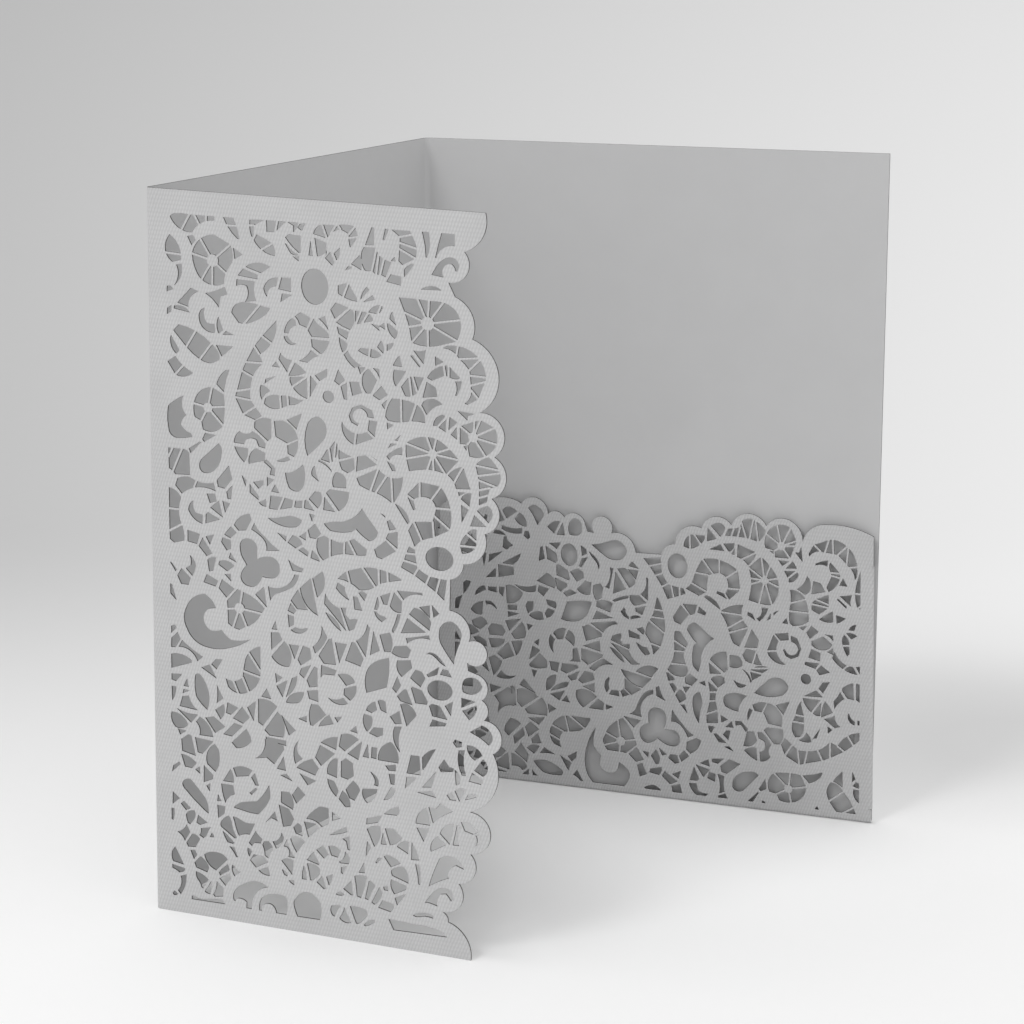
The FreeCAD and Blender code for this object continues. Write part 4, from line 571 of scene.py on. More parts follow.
    ((21.4, 28.8), (23.4, 30.4, 0.1), (27.4, 31.2, -0.3), (30.8, 35.8, 0.1), (31.1, 32.6, 0.3),
     (27.9, 28.1, 0.1), (24.5, 28.3)),
    ((25.6, 33.1), (26.2, 32.7), (27.8, 34.4), (27.2, 34.6)),
    ((33.3, 31.3), (34.4, 25.9), (36.5, 26.5), (37.3, 28.2), (36, 30.6)),
    ((34, 34.7), (33.9, 31.9), (37, 30.5), (37.2, 31.2), (36.1, 34.8)),
    ((36.8, 34.2), (37.9, 32.2), (40.3, 34.7), (38.4, 36.5)),
    ((40.5, 28.8, 0.3), (44, 32.3, 0.1), (46.3, 32.2), (46.4, 28.5), (44.5, 27.3), (43, 28.4)),
    ((47.2, 31.5), (47.2, 29.3), (49.4, 30.2)),
    ((48.9, 35), (50.6, 33.2), (51.9, 33.4), (51.9, 34.4), (49.9, 37.2)),
    ((56, 29.7), (59, 30.6), (60, 32.5), (58, 31.8), (56.1, 31.2)),
    ((60.4, 32.9), (63.7, 33), (64.4, 33.9), (64.2, 35.3), (62.4, 34.5)),
    ((68.7, 30.8), (70.5, 27.5), (71.9, 30.9)),
    ((68.5, 31.8), (72.1, 31.8), (71.9, 34), (71.1, 36), (69.6, 34.8)),
    ((71.7, 36.3), (72.8, 32.5), (75.2, 34.6), (77.8, 36.1), (74.6, 37.6), (73.6, 36.1)),
    ((74.6, 30.1), (77, 27.8), (78.1, 33), (76.9, 32.8)),
    ((77.8, 27.8), (79.4, 27.9), (79, 29.2), (79.7, 32.8), (78.8, 32.9)),
    ((79.8, 33.8), (80.7, 31.7), (82.8, 31.2), (84.1, 32), (81.9, 33.9)),
    ((83.4, 31), (83.8, 29.6), (83.2, 28.2), (84.4, 29.2), (84.5, 31.3)),
    ((4.6, 26.3), (5.4, 26.4), (5.4, 25), (5.1, 23.4), (4.6, 23.4)),
    ((8.7, 22.7), (9.6, 20.9), (8.1, 18.4), (7.4, 19.6), (6.1, 20.5), (7, 20.9)),
    ((7.1, 27.8), (8.5, 26.3), (9.8, 27), (8, 28.6)),
    ((8.5, 25.3), (10.2, 26.5), (10.8, 26.5), (11.1, 25.6), (10.5, 24), (9.6, 22.9), (9, 23.1), (8.7, 24)),
    ((11.8, 25.6), (14.3, 24), (12.3, 23.1), (11.3, 23.5)),
    ((12.5, 22.3), (15.2, 22.9), (14.5, 21.9), (13.9, 20.5), (13.1, 19.9), (12, 20.5), (12.5, 21.4)),
    ((15.4, 21.6), (15.9, 21.1), (16, 20.5), (14.9, 20.4)),
    ((17, 28.9), (17.2, 25.6), (18.9, 26.9), (19.1, 28.8)),
    ((18.3, 22.5), (19, 22.1), (20, 21.3), (21.5, 19.9), (21.1, 19.6), (19.6, 19.8), (18.9, 21)),
    ((20, 26.6), (20.5, 26), (21.1, 23.5), (22.1, 21.3), (21.6, 21), (17.9, 23.5), (17.8, 24.3),
     (18.3, 25.3)),
    ((21.1, 26.5), (22, 26.5), (24.3, 25.5), (27, 25.6), (26.5, 24.5), (25.6, 22.6), (23.8, 22.4),
     (22.7, 21.9), (22.3, 22.6), (21.5, 25.3)),
    ((27.2, 23.8), (27.8, 22.9), (28.9, 22), (28.5, 20.8), (27.6, 20.8), (26.8, 20.7), (26.1, 19.8),
     (25.3, 20.5)),
    ((29.7, 26.2), (31.3, 27.6, -0.1), (33, 27), (32.3, 29.4)),
    ((34, 24.4), (34.6, 23.3), (34, 21.5), (32.5, 20.1), (31.6, 21.8), (33, 22.4)),
    ((35.4, 22.9), (35.9, 21.3), (36.3, 20.3), (36.8, 19.5), (37.4, 18.7), (37.3, 18.5), (35.7, 18.5),
     (36, 19.8), (35.4, 20.9), (34.5, 21)),
    ((36.3, 23.1), (37, 23.8), (37.8, 23.9), (40.1, 23), (37.9, 19.9), (37.3, 20.8)),
    ((37.1, 26.2), (37.7, 24.7), (39.5, 24.3), (39.2, 26.8), (38.3, 27.4)),
    ((39.9, 28), (41, 24.2), (43.8, 26.9), (43, 27.9)),
    ((43, 21.4), (45, 19.5), (46.3, 20.7), (44.8, 22.8)),
    ((46.2, 22.8), (46.9, 20.6), (48.6, 20.3), (49.4, 22.1), (47.8, 23)),
    ((46.5, 25.6), (49.5, 26.4), (51.1, 27.1), (50.9, 28.3), (48.3, 26.9)),
    ((50.5, 22.1), (51.1, 21.6), (51.6, 20.8), (51.4, 19.1), (49.1, 19), (49, 19.4), (49.8, 20)),
    ((49.8, 25.2), (50.8, 24.6), (51.2, 22.6), (51.8, 22.6), (51.6, 26)),
    ((56.2, 25.6), (55.8, 21.7), (57.2, 24.1)),
    ((56.1, 28.6), (58, 24.4), (59.2, 26), (59.5, 29.8), (57.2, 29.3)),
    ((59.9, 22), (59.5, 21.3), (58.5, 20.4), (58.3, 20.6), (59, 21.8)),
    ((59.7, 25.3), (61.2, 25.4), (60.2, 28.3)),
    ((60.4, 22.4), (62.2, 20), (64.7, 21.3), (62.8, 22.6), (61.2, 22.9)),
    ((60.7, 29.4), (62, 25.4), (63.3, 25.9), (65.1, 27.6), (63, 29.6)),
    ((63.8, 25.3), (66.6, 23.9), (66.8, 27), (65.8, 27)),
    ((67.5, 27), (67.4, 22.6), (69.4, 22.8), (68.5, 25.4)),
    ((72.3, 25.4), (76.1, 27.6), (74, 29.4), (72.6, 27.9)),
    ((71.8, 16.7, 0.2), (74.6, 24.1, 1.6), (80.6, 22.2), (78.6, 22.9, -0.4), (76.5, 20.4),
     (76.9, 19.5, -0.2)),
    ((5.5, 16.6), (7.8, 12.3), (4.8, 12.8), (4.6, 15.3)),
    ((10.1, 20.5), (11.8, 20), (12.2, 19.4), (11, 17.3), (9, 17.1), (8.5, 18)),
    ((9.6, 16.3), (10.8, 16.5), (11.4, 15.4), (10.5, 14.1)),
    ((12.3, 15.1), (12.9, 14.8), (14.6, 12.5), (14.1, 11.3), (11.1, 12.1), (10.6, 13.3)),
    ((13.3, 15.8), (14.8, 16.6), (16.5, 16.8), (18.5, 16.4), (19.6, 15.4), (16.5, 12.2), (15.5, 12.6)),
    ((19.6, 14.2), (20, 13.3), (20.1, 12.7), (17.5, 11), (17.2, 11.8), (18, 12.8)),
    ((20.1, 18.8), (21.4, 18.8), (21.8, 17.8), (22.4, 16.4), (21.9, 16.4), (20.5, 18.4)),
    ((20.8, 14.2), (21.4, 14), (22, 13.1), (23.1, 12.8), (22.3, 12.3), (21.4, 11.4), (21, 12)),
    ((25, 19.2), (25.6, 19.1), (26.1, 18.4), (25.5, 17), (25, 18)),
    ((26.6, 17.8), (29.3, 17.6), (30.4, 16.4), (27.1, 14.5), (25.6, 16.1)),
    ((30.3, 15.2), (30.9, 13), (29.5, 13), (27.8, 13.9)),
    ((29.3, 21.4), (30.5, 21.7), (31.3, 20.9), (31.8, 19.8), (30.9, 18.6), (30.4, 17.4), (29.5, 17.9),
     (29.3, 19.5), (28.9, 20.5)),
    ((34, 15.1), (34.5, 15), (35.6, 14), (35.4, 13.6), (34.6, 13.8)),
    ((33.9, 17.3), (34.5, 17.8), (37.1, 17.8), (36.9, 15.5), (36.7, 14.1), (35.5, 15.5)),
    ((35.8, 12.6), (37.1, 12.9), (37.3, 11.6), (36.4, 12)),
    ((39.8, 17), (40.1, 16.3), (40.5, 14.4), (40.5, 13.5), (39.3, 13.5), (39.4, 15.5)),
    ((40.6, 17.6), (41.3, 17.8), (43.9, 16.8), (44, 15.5), (42.6, 14), (41.8, 13.5), (41.4, 13.6),
     (41.1, 15.5)),
    ((42.3, 20.8), (42.6, 20.3), (43.9, 18), (43.6, 17.7), (40.5, 18.5)),
    ((44.5, 15.1), (45, 14), (45.6, 12.1), (45, 11.8), (43.1, 13.3)),
    ((47.3, 16), (47, 14.4), (46.3, 12.9), (46, 13.8), (45.6, 15)),
    ((49.5, 18.1), (50.9, 18.4), (50.3, 17.3), (49.8, 16.3), (49.4, 16.8)),
    ((52.1, 15.1), (52.6, 11.5), (52, 11.4), (50, 12.7)),
    ((52.9, 16.3), (54.3, 16.8), (56.1, 16.6), (55.5, 14), (54.6, 11.1), (53.5, 11.4), (53.3, 13.8)),
    ((55.4, 20.1), (55.6, 17.5), (54, 17.4)),
    ((56.6, 15.7), (57.1, 15.8), (58.3, 14.8), (57.4, 13.3), (56.4, 10.9), (55.6, 11.1), (56.1, 13.3)),
    ((59.3, 14.6), (60.1, 13.3), (59.9, 12.4), (58, 10), (57.3, 10.4)),
    ((60.3, 14.8), (61, 15.1), (61.5, 15.1), (61.5, 14), (60.5, 14)),
    ((62.3, 17), (66.3, 15.9), (66.1, 15), (63.1, 13.4), (62.4, 14.5)),
    ((66.1, 13.9), (63.8, 10.7), (63.2, 12.5)),
    ((62.4, 19.3), (64.7, 20.5), (65.6, 20.5), (66.5, 18.9), (66.7, 16.6), (62.6, 17.9), (62.3, 18.6)),
    ((68.4, 21.7), (69.4, 21.6), (69.7, 20), (69.6, 16.8), (69.2, 16.8), (69, 18.9)),
    ((70.8, 12.5), (72.6, 15), (74, 16.4), (76.1, 16.9), (77.6, 16.3), (78, 14.6), (77.4, 13.8),
     (76.9, 14.6), (76.1, 15.5), (74.7, 15.2), (74, 13.9), (74, 12.1), (73.3, 12.3), (71.9, 12.6)),
    ((4.6, 4.6), (5.1, 5.3), (6, 4.5), (5.6, 4.2), (4.8, 4.2)),
    ((4.6, 12), (8.1, 11.4), (7.8, 10.6), (6.5, 10.1), (5.3, 10.8), (4.6, 11)),
    ((6.8, 9.3), (8.4, 9.9), (8.3, 8), (6.8, 4.6), (6, 5.5), (6.9, 7)),
    ((11, 11.1), (11.6, 11), (14.4, 9.5), (13.8, 8.4), (12.9, 7), (12.4, 7.3), (12.1, 8.3), (11.3, 9.3)),
    ((9.8, 4.6), (10.5, 4.9), (11.3, 4.4), (14.3, 4.5), (18, 5), (18.8, 3.9), (9.8, 3.8)),
    ((15, 9.1), (15.4, 8.6), (14.8, 5.9), (13.8, 6), (13.3, 6.4), (14.3, 7.8)),
    ((16.6, 9.4), (18.3, 8), (18.3, 5.8), (16, 5.4), (15.6, 5.9), (16.3, 7.3)),
    ((20.1, 11.9), (20.5, 10.8), (18.9, 8.6), (17.3, 10.3)),
    ((21.1, 5.3), (21.1, 7), (22, 8.5), (24.3, 10.1), (26.8, 11), (30.3, 10), (27.8, 8.8), (26.5, 7),
     (25.9, 3.8), (24.5, 3.8), (24.6, 5.3), (23.5, 5.9), (22.1, 5.9), (21.5, 5.1)),
    ((27.9, 3.8), (28, 5.5), (28.8, 7.2), (30.3, 8.1), (35.1, 8.3), (35.4, 6.5), (35.1, 3.8), (32.4, 3.8),
     (32, 5), (31, 5.8), (29.6, 5.7), (28.8, 5), (28.6, 3.8)),
    ((37.1, 6.3), (37.1, 7.5), (37.8, 8.6), (38.9, 9.8), (40.3, 10.3), (41.8, 10.2), (43, 9.4),
     (43.9, 8.4), (44.3, 6.8), (43.9, 3.9), (38, 3.8), (37.5, 5)),
    ((47, 8), (49, 8.5), (49.3, 8.3), (48, 6), (47.8, 5.4), (47.3, 5.5), (46.9, 6)),
    ((48.1, 11), (48.6, 11.6), (49.3, 11.9), (50.3, 11.4), (50, 11.1), (49.3, 10.9)),
    ((50.3, 8.1), (50.6, 7.3), (52, 4.5), (51.8, 4.4), (49.1, 5), (49, 5.3), (49.8, 6.6)),
    ((51.7, 8.6), (52.5, 8.7), (55.9, 8.4), (56.3, 7), (55.5, 6), (53.6, 4.5), (53.3, 4.5), (52.5, 6.5)),
    ((58, 6.2), (58.1, 5.6), (57, 4.8), (55.6, 4.2), (55.3, 4.4), (56.1, 5.4)),
    ((60.1, 11.4), (63, 10.8), (62.8, 9.6), (62, 8.8), (59, 9.4)),
    ((61.6, 7), (62.9, 4.4), (76.4, 4.8), (74.8, 6), (73.5, 6.4), (68, 6.7)),
    ((67.8, 8.9), (68.3, 9.3), (70.8, 9.9), (72.9, 9.6), (72.9, 8.9), (70.8, 9.1), (68.6, 8.6)),
)
EYELETS: tuple[tuple[float, float, float, float], ...] = (
    (43.4, 157.8, 3.4, 4.2),
    (74.3, 96.6, 3.4, 2.8),
    (74.5, 65.1, 3.1, 2.4),
)

# ---------------------------------------------------------------------------------------------------------
# Plane geometry of the lace


def signed_area(points: Iterable[tuple[float, ...]]) -> float:
    """Signed area of a closed outline, positive when it runs anticlockwise.

    Args:
        points: The outline's corners; only the first two numbers of each are read.

    Returns:
        The area in the outline's own units squared.
    """
    ring = list(points)
    return 0.5 * sum(a[0] * b[1] - b[0] * a[1] for a, b in zip(ring, ring[1:] + ring[:1]))


def arc_points(start: Point, end: Point, bulge: float, step: float) -> Outline:
    """Points strictly between the ends of an arc that bulges to the right of its run.

    Args:
        start: Where the arc starts.
        end: Where it ends.
        bulge: Height of the arc over its chord, negative to bulge to the left.
        step: Longest piece of arc between two points.

    Returns:
        The points, in order.
    """
    run, rise = end[0] - start[0], end[1] - start[1]
    chord = math.hypot(run, rise)
    if abs(bulge) < TINY or chord < TINY:
        return []
    side = math.copysign(1.0, bulge)
    radius = (chord * chord / 4 + bulge * bulge) / (2 * abs(bulge))
    sweep = 4 * math.atan2(abs(bulge), chord / 2)
    inward = side * (abs(bulge) - radius) / chord
    centre = ((start[0] + end[0]) / 2 + rise * inward, (start[1] + end[1]) / 2 - run * inward)
    first = math.atan2(start[1] - centre[1], start[0] - centre[0])
    count = max(3, math.ceil(sweep * radius / step))
    turns = (first + side * sweep * k / count for k in range(1, count))
    return [(centre[0] + radius * math.cos(t), centre[1] + radius * math.sin(t)) for t in turns]


def traced(points: Cell, closed: bool = True, step: float = 0.6) -> Outline:
    """The outline through a cell's points with its arcs divided.

    Args:
        points: Points of a cell or of an open edge.
        closed: Whether the last point joins the first.
        step: Longest piece of arc between two points.

    Returns:
        The corners of the outline.
    """
    outward = -1.0 if closed and signed_area(points) < 0 else 1.0
    ends = points[1:] + (points[:1] if closed else ())
    outline: Outline = []
    for start, end in zip(points, ends):
        outline.append((start[0], start[1]))
        if len(start) > 2:
            outline += arc_points(start[:2], end[:2], outward * start[2], step)
    if not closed:
        outline.append(points[-1][:2])
    return outline


def turn_between(first: Vector, second: Vector) -> float:
    """The angle in degrees that a line turns through from one run to the next, left positive."""
    return math.degrees(math.atan2(first.x * second.y - first.y * second.x, first.dot(second)))


def eased(outline: Outline, corner: float = 42.0, step: float = 14.0) -> Outline:
    """Eases a closed outline into flowing curves, as the cutter runs, and keeps its true corners.

    Args:
        outline: The outline's corners.
        corner: A turn sharper than this, in degrees, stays a corner.
        step: Largest turn, in degrees, between two points of a curve.

    Returns:
        The eased outline.
    """
    ring = [Vector(p) for p in outline]
    ring = [p for p, q in zip(ring, ring[-1:] + ring[:-1]) if (p - q).length > SAME_PLACE]
    count = len(ring)
    if count < 3:
        return outline
    runs = [(ring[(k + 1) % count] - ring[k]).normalized() for k in range(count)]
    lengths = [(ring[(k + 1) % count] - ring[k]).length for k in range(count)]
    tangents: list[Vector | None] = []
    for k in range(count):
        if abs(turn_between(runs[k - 1], runs[k])) > corner:
            tangents.append(None)
        else:
            tangents.append((runs[k - 1] * lengths[k] + runs[k] * lengths[k - 1]).normalized())
    flowing: Outline = []
    for k in range(count):
        start, end = tangents[k], tangents[(k + 1) % count]
        if start is None and end is not None:
            start = 2 * runs[k] * runs[k].dot(end) - end
        elif end is None and start is not None:
            end = 2 * runs[k] * runs[k].dot(start) - start
        flowing.append((ring[k].x, ring[k].y))
        if start is None or end is None:
            continue
        swing = abs(turn_between(start, end)) + abs(turn_between(start, runs[k])) / 2
        pieces = min(math.ceil(swing / step), math.ceil(lengths[k] / SHORTEST_PIECE))
        tip = ring[(k + 1) % count]
        for j in range(1, pieces):
            t = j / pieces
            place = ((2 * t**3 - 3 * t**2 + 1) * ring[k] + (t**3 - 2 * t**2 + t) * lengths[k] * start
                     + (3 * t**2 - 2 * t**3) * tip + (t**3 - t**2) * lengths[k] * end)
            flowing.append((place.x, place.y))
    return flowing


def clipped(outline: Outline, axis: int, limit: float, keep_above: bool) -> Outline:
    """The part of an outline on one side of a level line.

    Args:
        outline: A closed outline.
        axis: 0 to clip along x, 1 along y.
        limit: Where the line is.
        keep_above: Whether the part past the limit stays.

    Returns:
        The clipped outline, empty where nothing is left.
    """
    sign = 1.0 if keep_above else -1.0
    kept: Outline = []
    for a, b in zip(outline, outline[1:] + outline[:1]):
        from_a, from_b = sign * (a[axis] - limit), sign * (b[axis] - limit)
        if from_a >= 0:
            kept.append(a)
        if from_a * from_b < 0:
            t = from_a / (from_a - from_b)
            kept.append((a[0] + (b[0] - a[0]) * t, a[1] + (b[1] - a[1]) * t))
    return kept if len(kept) > 2 else []


@dataclass
class Opening:
    """An opening cut in the sheet, and the bits of paper that stay in it: bars, spokes and a boss."""

    outline: Outline
    left_in: list[Outline] = field(default_factory=list)

    def moved(self, place: Callable[[float, float], Point]) -> "Opening":
        """The opening with every point put through a function."""
        return Opening([place(x, y) for x, y in self.outline],
                       [[place(x, y) for x, y in bit] for bit in self.left_in])

    def clipped(self, axis: int, limit: float, keep_above: bool) -> "Opening":
        """The opening cut off at a level line; its outline is empty where nothing is left."""
        outline = clipped(self.outline, axis, limit, keep_above) if self.outline else []
        return Opening(outline, self.left_in)


def bar_across(a: Point, b: Point, width: float, overlap: float = 0.12) -> Outline:
    """A thin bar of paper from one side of an opening to the other.

    Args:
        a: One end.
        b: The other end.
        width: The bar's width.
        overlap: How far it runs on into the paper at each end.

    Returns:
        The bar's corners.
    """
    run, rise = b[0] - a[0], b[1] - a[1]
    length = math.hypot(run, rise) or 1.0
    run, rise = run / length, rise / length
    ends = [(a[0] - run * overlap, a[1] - rise * overlap), (b[0] + run * overlap, b[1] + rise * overlap)]
    side = (-rise * width / 2, run * width / 2)
    return [(ends[0][0] + side[0], ends[0][1] + side[1]), (ends[0][0] - side[0], ends[0][1] - side[1]),
            (ends[1][0] - side[0], ends[1][1] - side[1]), (ends[1][0] + side[0], ends[1][1] + side[1])]


def round_outline(x: float, y: float, wide: float, high: float, count: int) -> Outline:
    """An ellipse with the given half width and half height."""
    turns = [2 * math.pi * k / count for k in range(count)]
    return [(x + wide * math.cos(t), y + high * math.sin(t)) for t in turns]


@dataclass
class LacePattern:
    """The lace as a list of openings in the flap's plane."""

    bar: float = 0.55
    """Width of the thin bars and spokes."""
    boss_points: int = 24
    eyelet_points: int = 40

    def band_opening(self, band: Band) -> Opening:
        """A band's opening with its bars."""
        rails = [(r[0], r[1]) for r in band] + [(r[2], r[3]) for r in reversed(band)]
        bars = [bar_across(r[:2], r[2:4], self.bar) for r in band[1:-1] if len(r) == 4]
        return Opening(eased(rails), bars)

    def wheel_opening(self, wheel: Wheel) -> Opening:
        """A wheel's opening with its boss and spokes."""
        x, y, boss, rim = wheel
        spokes = [bar_across((x, y), point[:2], self.bar) for point in rim if point[2]]
        middle = round_outline(x, y, boss, boss, self.boss_points)
        return Opening(eased([point[:2] for point in rim]), [middle, *spokes])

    def openings(self) -> list[Opening]:
        """Every opening of the flap."""
        openings = [Opening(eased(traced(cell))) for cell in CELLS]
        openings += [self.band_opening(band) for band in BANDS]
        openings += [self.wheel_opening(wheel) for wheel in WHEELS]
        openings += [Opening(round_outline(*eyelet, self.eyelet_points)) for eyelet in EYELETS]
        return openings


# ---------------------------------------------------------------------------------------------------------
# The folded sheet


class Side(Enum):
    """The two sides of the pocket that carry a tab."""

    LEFT = -1
    RIGHT = 1


def heading(angle: float) -> Vector:
    """A unit vector along the ground, its angle in degrees from +X."""
    return Vector((math.cos(math.radians(angle)), math.sin(math.radians(angle)), 0.0))


def on_bend(centre: Vector, radius: float, turns: tuple[float, float], share: float) -> Vector:
    """A point of the round bend between two panels.

    Args:
        centre: The bend's axis, seen from above.
        radius: Its radius.
        turns: The directions from the axis at which the bend starts and ends, in degrees.
        share: How far round the bend the point is, 0 to 1.

    Returns:
        The point.
    """
    return centre + heading(turns[0] + (turns[1] - turns[0]) * share) * radius


def within(outline: Outline, places: np.ndarray) -> np.ndarray:
    """Which places lie inside an outline.

    Args:
        outline: The outline's corners.
        places: One place a row.

    Returns:
        A true or false value a row.
    """
    corners = np.array(outline)
    near = np.flatnonzero(((places >= corners.min(axis=0)) & (places <= corners.max(axis=0))).all(axis=1))
    x, y = places[near, 0], places[near, 1]
    hits = np.zeros(len(near), dtype=bool)
    for (ax, ay), (bx, by) in zip(corners, np.roll(corners, -1, axis=0)):
        if ay != by:
            hits ^= ((ay > y) != (by > y)) & (x < ax + (bx - ax) * (y - ay) / (by - ay))
    inside = np.zeros(len(places), dtype=bool)
    inside[near] = hits
    return inside


@dataclass
class FoldedSheet:
    """The one sheet of card: laid out flat in mm, pierced, then folded and given its thickness.

    Flat, x runs along the panels from the left fold (the flap is at negative x) and y up from the foot;
    the pocket hangs below the pocket panel, at negative y. Sizes are in mm, and angles in degrees from +X.
    """

    lace: LacePattern = field(default_factory=LacePattern)
    paper: float = 0.4
    height: float = 178.0
    flap_width: float = 85.1
    flap_drop: float = 2.0
    """How much lower the flap's top is at its free edge than at the fold."""
    middle_width: float = 127.5
    pocket_panel_width: float = 125.0
    flap_angle: float = -25.0
    middle_angle: float = 55.7
    pocket_angle: float = -22.4
    left_radius: float = 1.0
    back_radius: float = 2.0
    pocket_start: float = 4.0
    pocket_end: float = 124.1
    pocket_height: float = 80.2
    pocket_corner: float = 78.0
    """How high the right end of the pocket's rim is; pocket_height is the top of its last lobe."""
    pocket_flare: float = 1.55
    """How much further out the pocket's right edge is at its foot than at its corner."""
    pocket_foot_margin: float = 2.3
    pocket_near_margin: float = 5.5
    pocket_side_margin: float = 3.4
    tape: float = 0.2
    tab_clearance: float = 1.2
    tab_width: float = 4.0
    tab_foot: float = 4.0
    tab_height: float = 66.0
    slit: float = 0.012
    """Width of the cuts that free a tab, or the hem, from the paper beside it."""
    least_opening: float = 0.4
    """Smallest opening, in mm2, that is cut in the pocket."""
    turned_along: tuple[float, float, float] = (-0.042, 0.955, -17.0)
    turned_up: tuple[float, float, float] = (0.995, -0.006, -7.8)
    """The pocket's lace is the flap's turned a quarter and drawn in to fit: parts of x, of y, and a shift."""
    last_lobe: Point = (84, 132)
    """Where on the free edge the last lobe of the pocket's rim starts."""
    lobe_bulge: tuple[float, float] = (-1.5, -0.9)
    """How far that lobe swells before its top and after it."""
    lobe_step: float = 0.5
    panel_overrun: float = 1.0
    hem_overrun: float = 0.01
    """How far a bend's lines run past the sheet: up and down the panels, and along the hem."""

    def __post_init__(self) -> None:
        """Works out the offsets and folds that follow from the sizes."""
        self.tab_offset = self.paper + self.tape
        self.pocket_offset = self.tab_offset + self.paper + self.tab_clearance
        self.hem = self.pocket_offset / 2
        self.hem_rise = self.hem + self.paper / 2
        self.tab_bend = (self.pocket_offset - self.tab_offset) / 2
        self.tab_rise = self.tab_bend + self.paper / 2
        self.left_half = math.radians(self.middle_angle - self.flap_angle) / 2
        self.back_half = math.radians(180 - self.middle_angle + self.pocket_angle) / 2
        self.left_set = self.left_radius / math.tan(self.left_half)
        self.back_set = self.back_radius / math.tan(self.back_half)
        self.back_corner = heading(self.middle_angle) * self.middle_width
        self.tab_low, self.tab_high = -self.tab_foot, -self.tab_foot - self.tab_height

    # -- the flat sheet --

    def free_edge(self) -> Outline:
        """The scalloped free edge from the foot up, as (across, up) on the flap."""
        return traced(FREE_EDGE, closed=False)

    def turned(self, x: float, y: float) -> Point:
        """Where a point of the flap's lace comes on the pocket, as (along, up)."""
        return (self.turned_along[0] * x + self.turned_along[1] * y + self.turned_along[2],
                self.turned_up[0] * x + self.turned_up[1] * y + self.turned_up[2])

    def pocket_edge(self, side: Side, y: float) -> float:
        """Where the pocket ends along its panel at one side; its right edge runs out towards the foot."""
        if side is Side.LEFT:
            return self.pocket_start
        return self.pocket_end + self.pocket_flare * (1 + y / self.pocket_corner)

    def pocket_rim(self) -> Outline:
        """The scalloped rim of the pocket, whose last lobe runs out to the top right corner.

        Returns:
            Points (along, up) on the pocket, ends included.
        """
        left = self.pocket_start + self.tab_rise
        edge = self.free_edge()
        last = min(range(len(edge)), key=lambda k: math.dist(edge[k], self.last_lobe))
        rim = [self.turned(*point) for point in edge[:last + 1]]
        first = next(k for k, p in enumerate(rim) if p[0] > left)
        a, b = rim[first - 1], rim[first]
        start = (left, a[1] + (b[1] - a[1]) * (left - a[0]) / (b[0] - a[0]))
        top = ((2 * rim[-1][0] + self.pocket_end) / 3, self.pocket_height)
        corner = (self.pocket_end, self.pocket_corner)
        rising = arc_points(rim[-1], top, self.lobe_bulge[0], self.lobe_step)
        falling = arc_points(top, corner, self.lobe_bulge[1], self.lobe_step)
        return [start, *rim[first:], *rising, top, *falling, corner]

    def blank(self) -> Outline:
        """The outline of the whole flat sheet before the lace is cut.

        Returns:
            The corners in order, in flat coordinates.
        """
        base, rise, slit = self.middle_width, self.hem_rise, self.slit
        outline = [(-x, y) for x, y in reversed(self.free_edge())]
        start = base + self.pocket_start
        outline += [(0.0, 0.0), (start - slit, 0.0), (start - slit, rise), (start, rise), (start, -rise)]
        outline += self.tab_outline(Side.LEFT)
        outline += [(base + s, -z) for s, z in self.pocket_rim()]
        outline += reversed(self.tab_outline(Side.RIGHT))
        end = base + self.pocket_panel_width
        outline += [(base + self.pocket_edge(Side.RIGHT, -rise), -rise), (end, rise)]
        outline += [(end, self.height), (0.0, self.height)]
        return outline

    def tab_outline(self, side: Side) -> Outline:
        """The outline of a tab from the hem up, slit free of the pocket's front at its ends.

        Args:
            side: The side of the pocket that it is on.

        Returns:
            The corners in order, in flat coordinates.
        """
        out, high = side.value, self.tab_high - self.slit
        low_edge = self.middle_width + self.pocket_edge(side, self.tab_low)
        high_edge = self.middle_width + self.pocket_edge(side, self.tab_high)
        low_fold, high_fold = low_edge - out * self.tab_rise, high_edge - out * self.tab_rise
        span = out * (2 * self.tab_rise + self.tab_width)
        corners = [(low_edge, self.tab_low + self.slit), (low_fold, self.tab_low + self.slit)]
        corners += [(low_fold, self.tab_low), (low_fold + span, self.tab_low)]
        corners += [(high_fold + span, self.tab_high), (high_fold, self.tab_high)]
        if side is Side.RIGHT:
            corners += [(high_fold, high), (high_edge, high)]
        return corners

    def openings(self) -> list[Opening]:
        """The lace's openings on the flat sheet, for the flap and, turned, for the pocket."""
        flap = self.lace.openings()
        openings = [opening.moved(lambda x, y: (-x, y)) for opening in flap]
        left = self.pocket_start + self.pocket_near_margin
        for opening in flap:
            turned = opening.moved(self.turned).clipped(0, left, True)
            turned = turned.clipped(1, self.pocket_foot_margin, True)
            turned = turned.moved(lambda s, z: (s - self.pocket_edge(Side.RIGHT, -z), -z))
            turned = turned.clipped(0, -self.pocket_side_margin, False)
            if turned.outline and abs(signed_area(turned.outline)) > self.least_opening:
                openings.append(turned.moved(
                    lambda s, y: (self.middle_width + s + self.pocket_edge(Side.RIGHT, y), y)))
        return openings

    def crease_lines(self) -> list[tuple[Point, Point]]:
        """Lines across the flat sheet that let its bends be round."""
        base, start, end = self.middle_width, self.pocket_start, self.pocket_edge(Side.RIGHT, 0.0)
        lines: list[tuple[Point, Point]] = []
        for k in range(BEND_LINES + 1):
            place = 2 * k / BEND_LINES - 1
            for x in (self.left_set * place, base + self.back_set * place):
                lines.append(((x, -self.panel_overrun), (x, self.height + self.panel_overrun)))
            y = self.hem_rise * place
            lines.append(((base + start - self.hem_overrun, y), (base + end + self.hem_overrun, y)))
            for side in Side:
                x = base + side.value * self.tab_rise * place
                lines.append(tuple((x + self.pocket_edge(side, y), y) for y in (self.tab_low, self.tab_high)))
        return lines

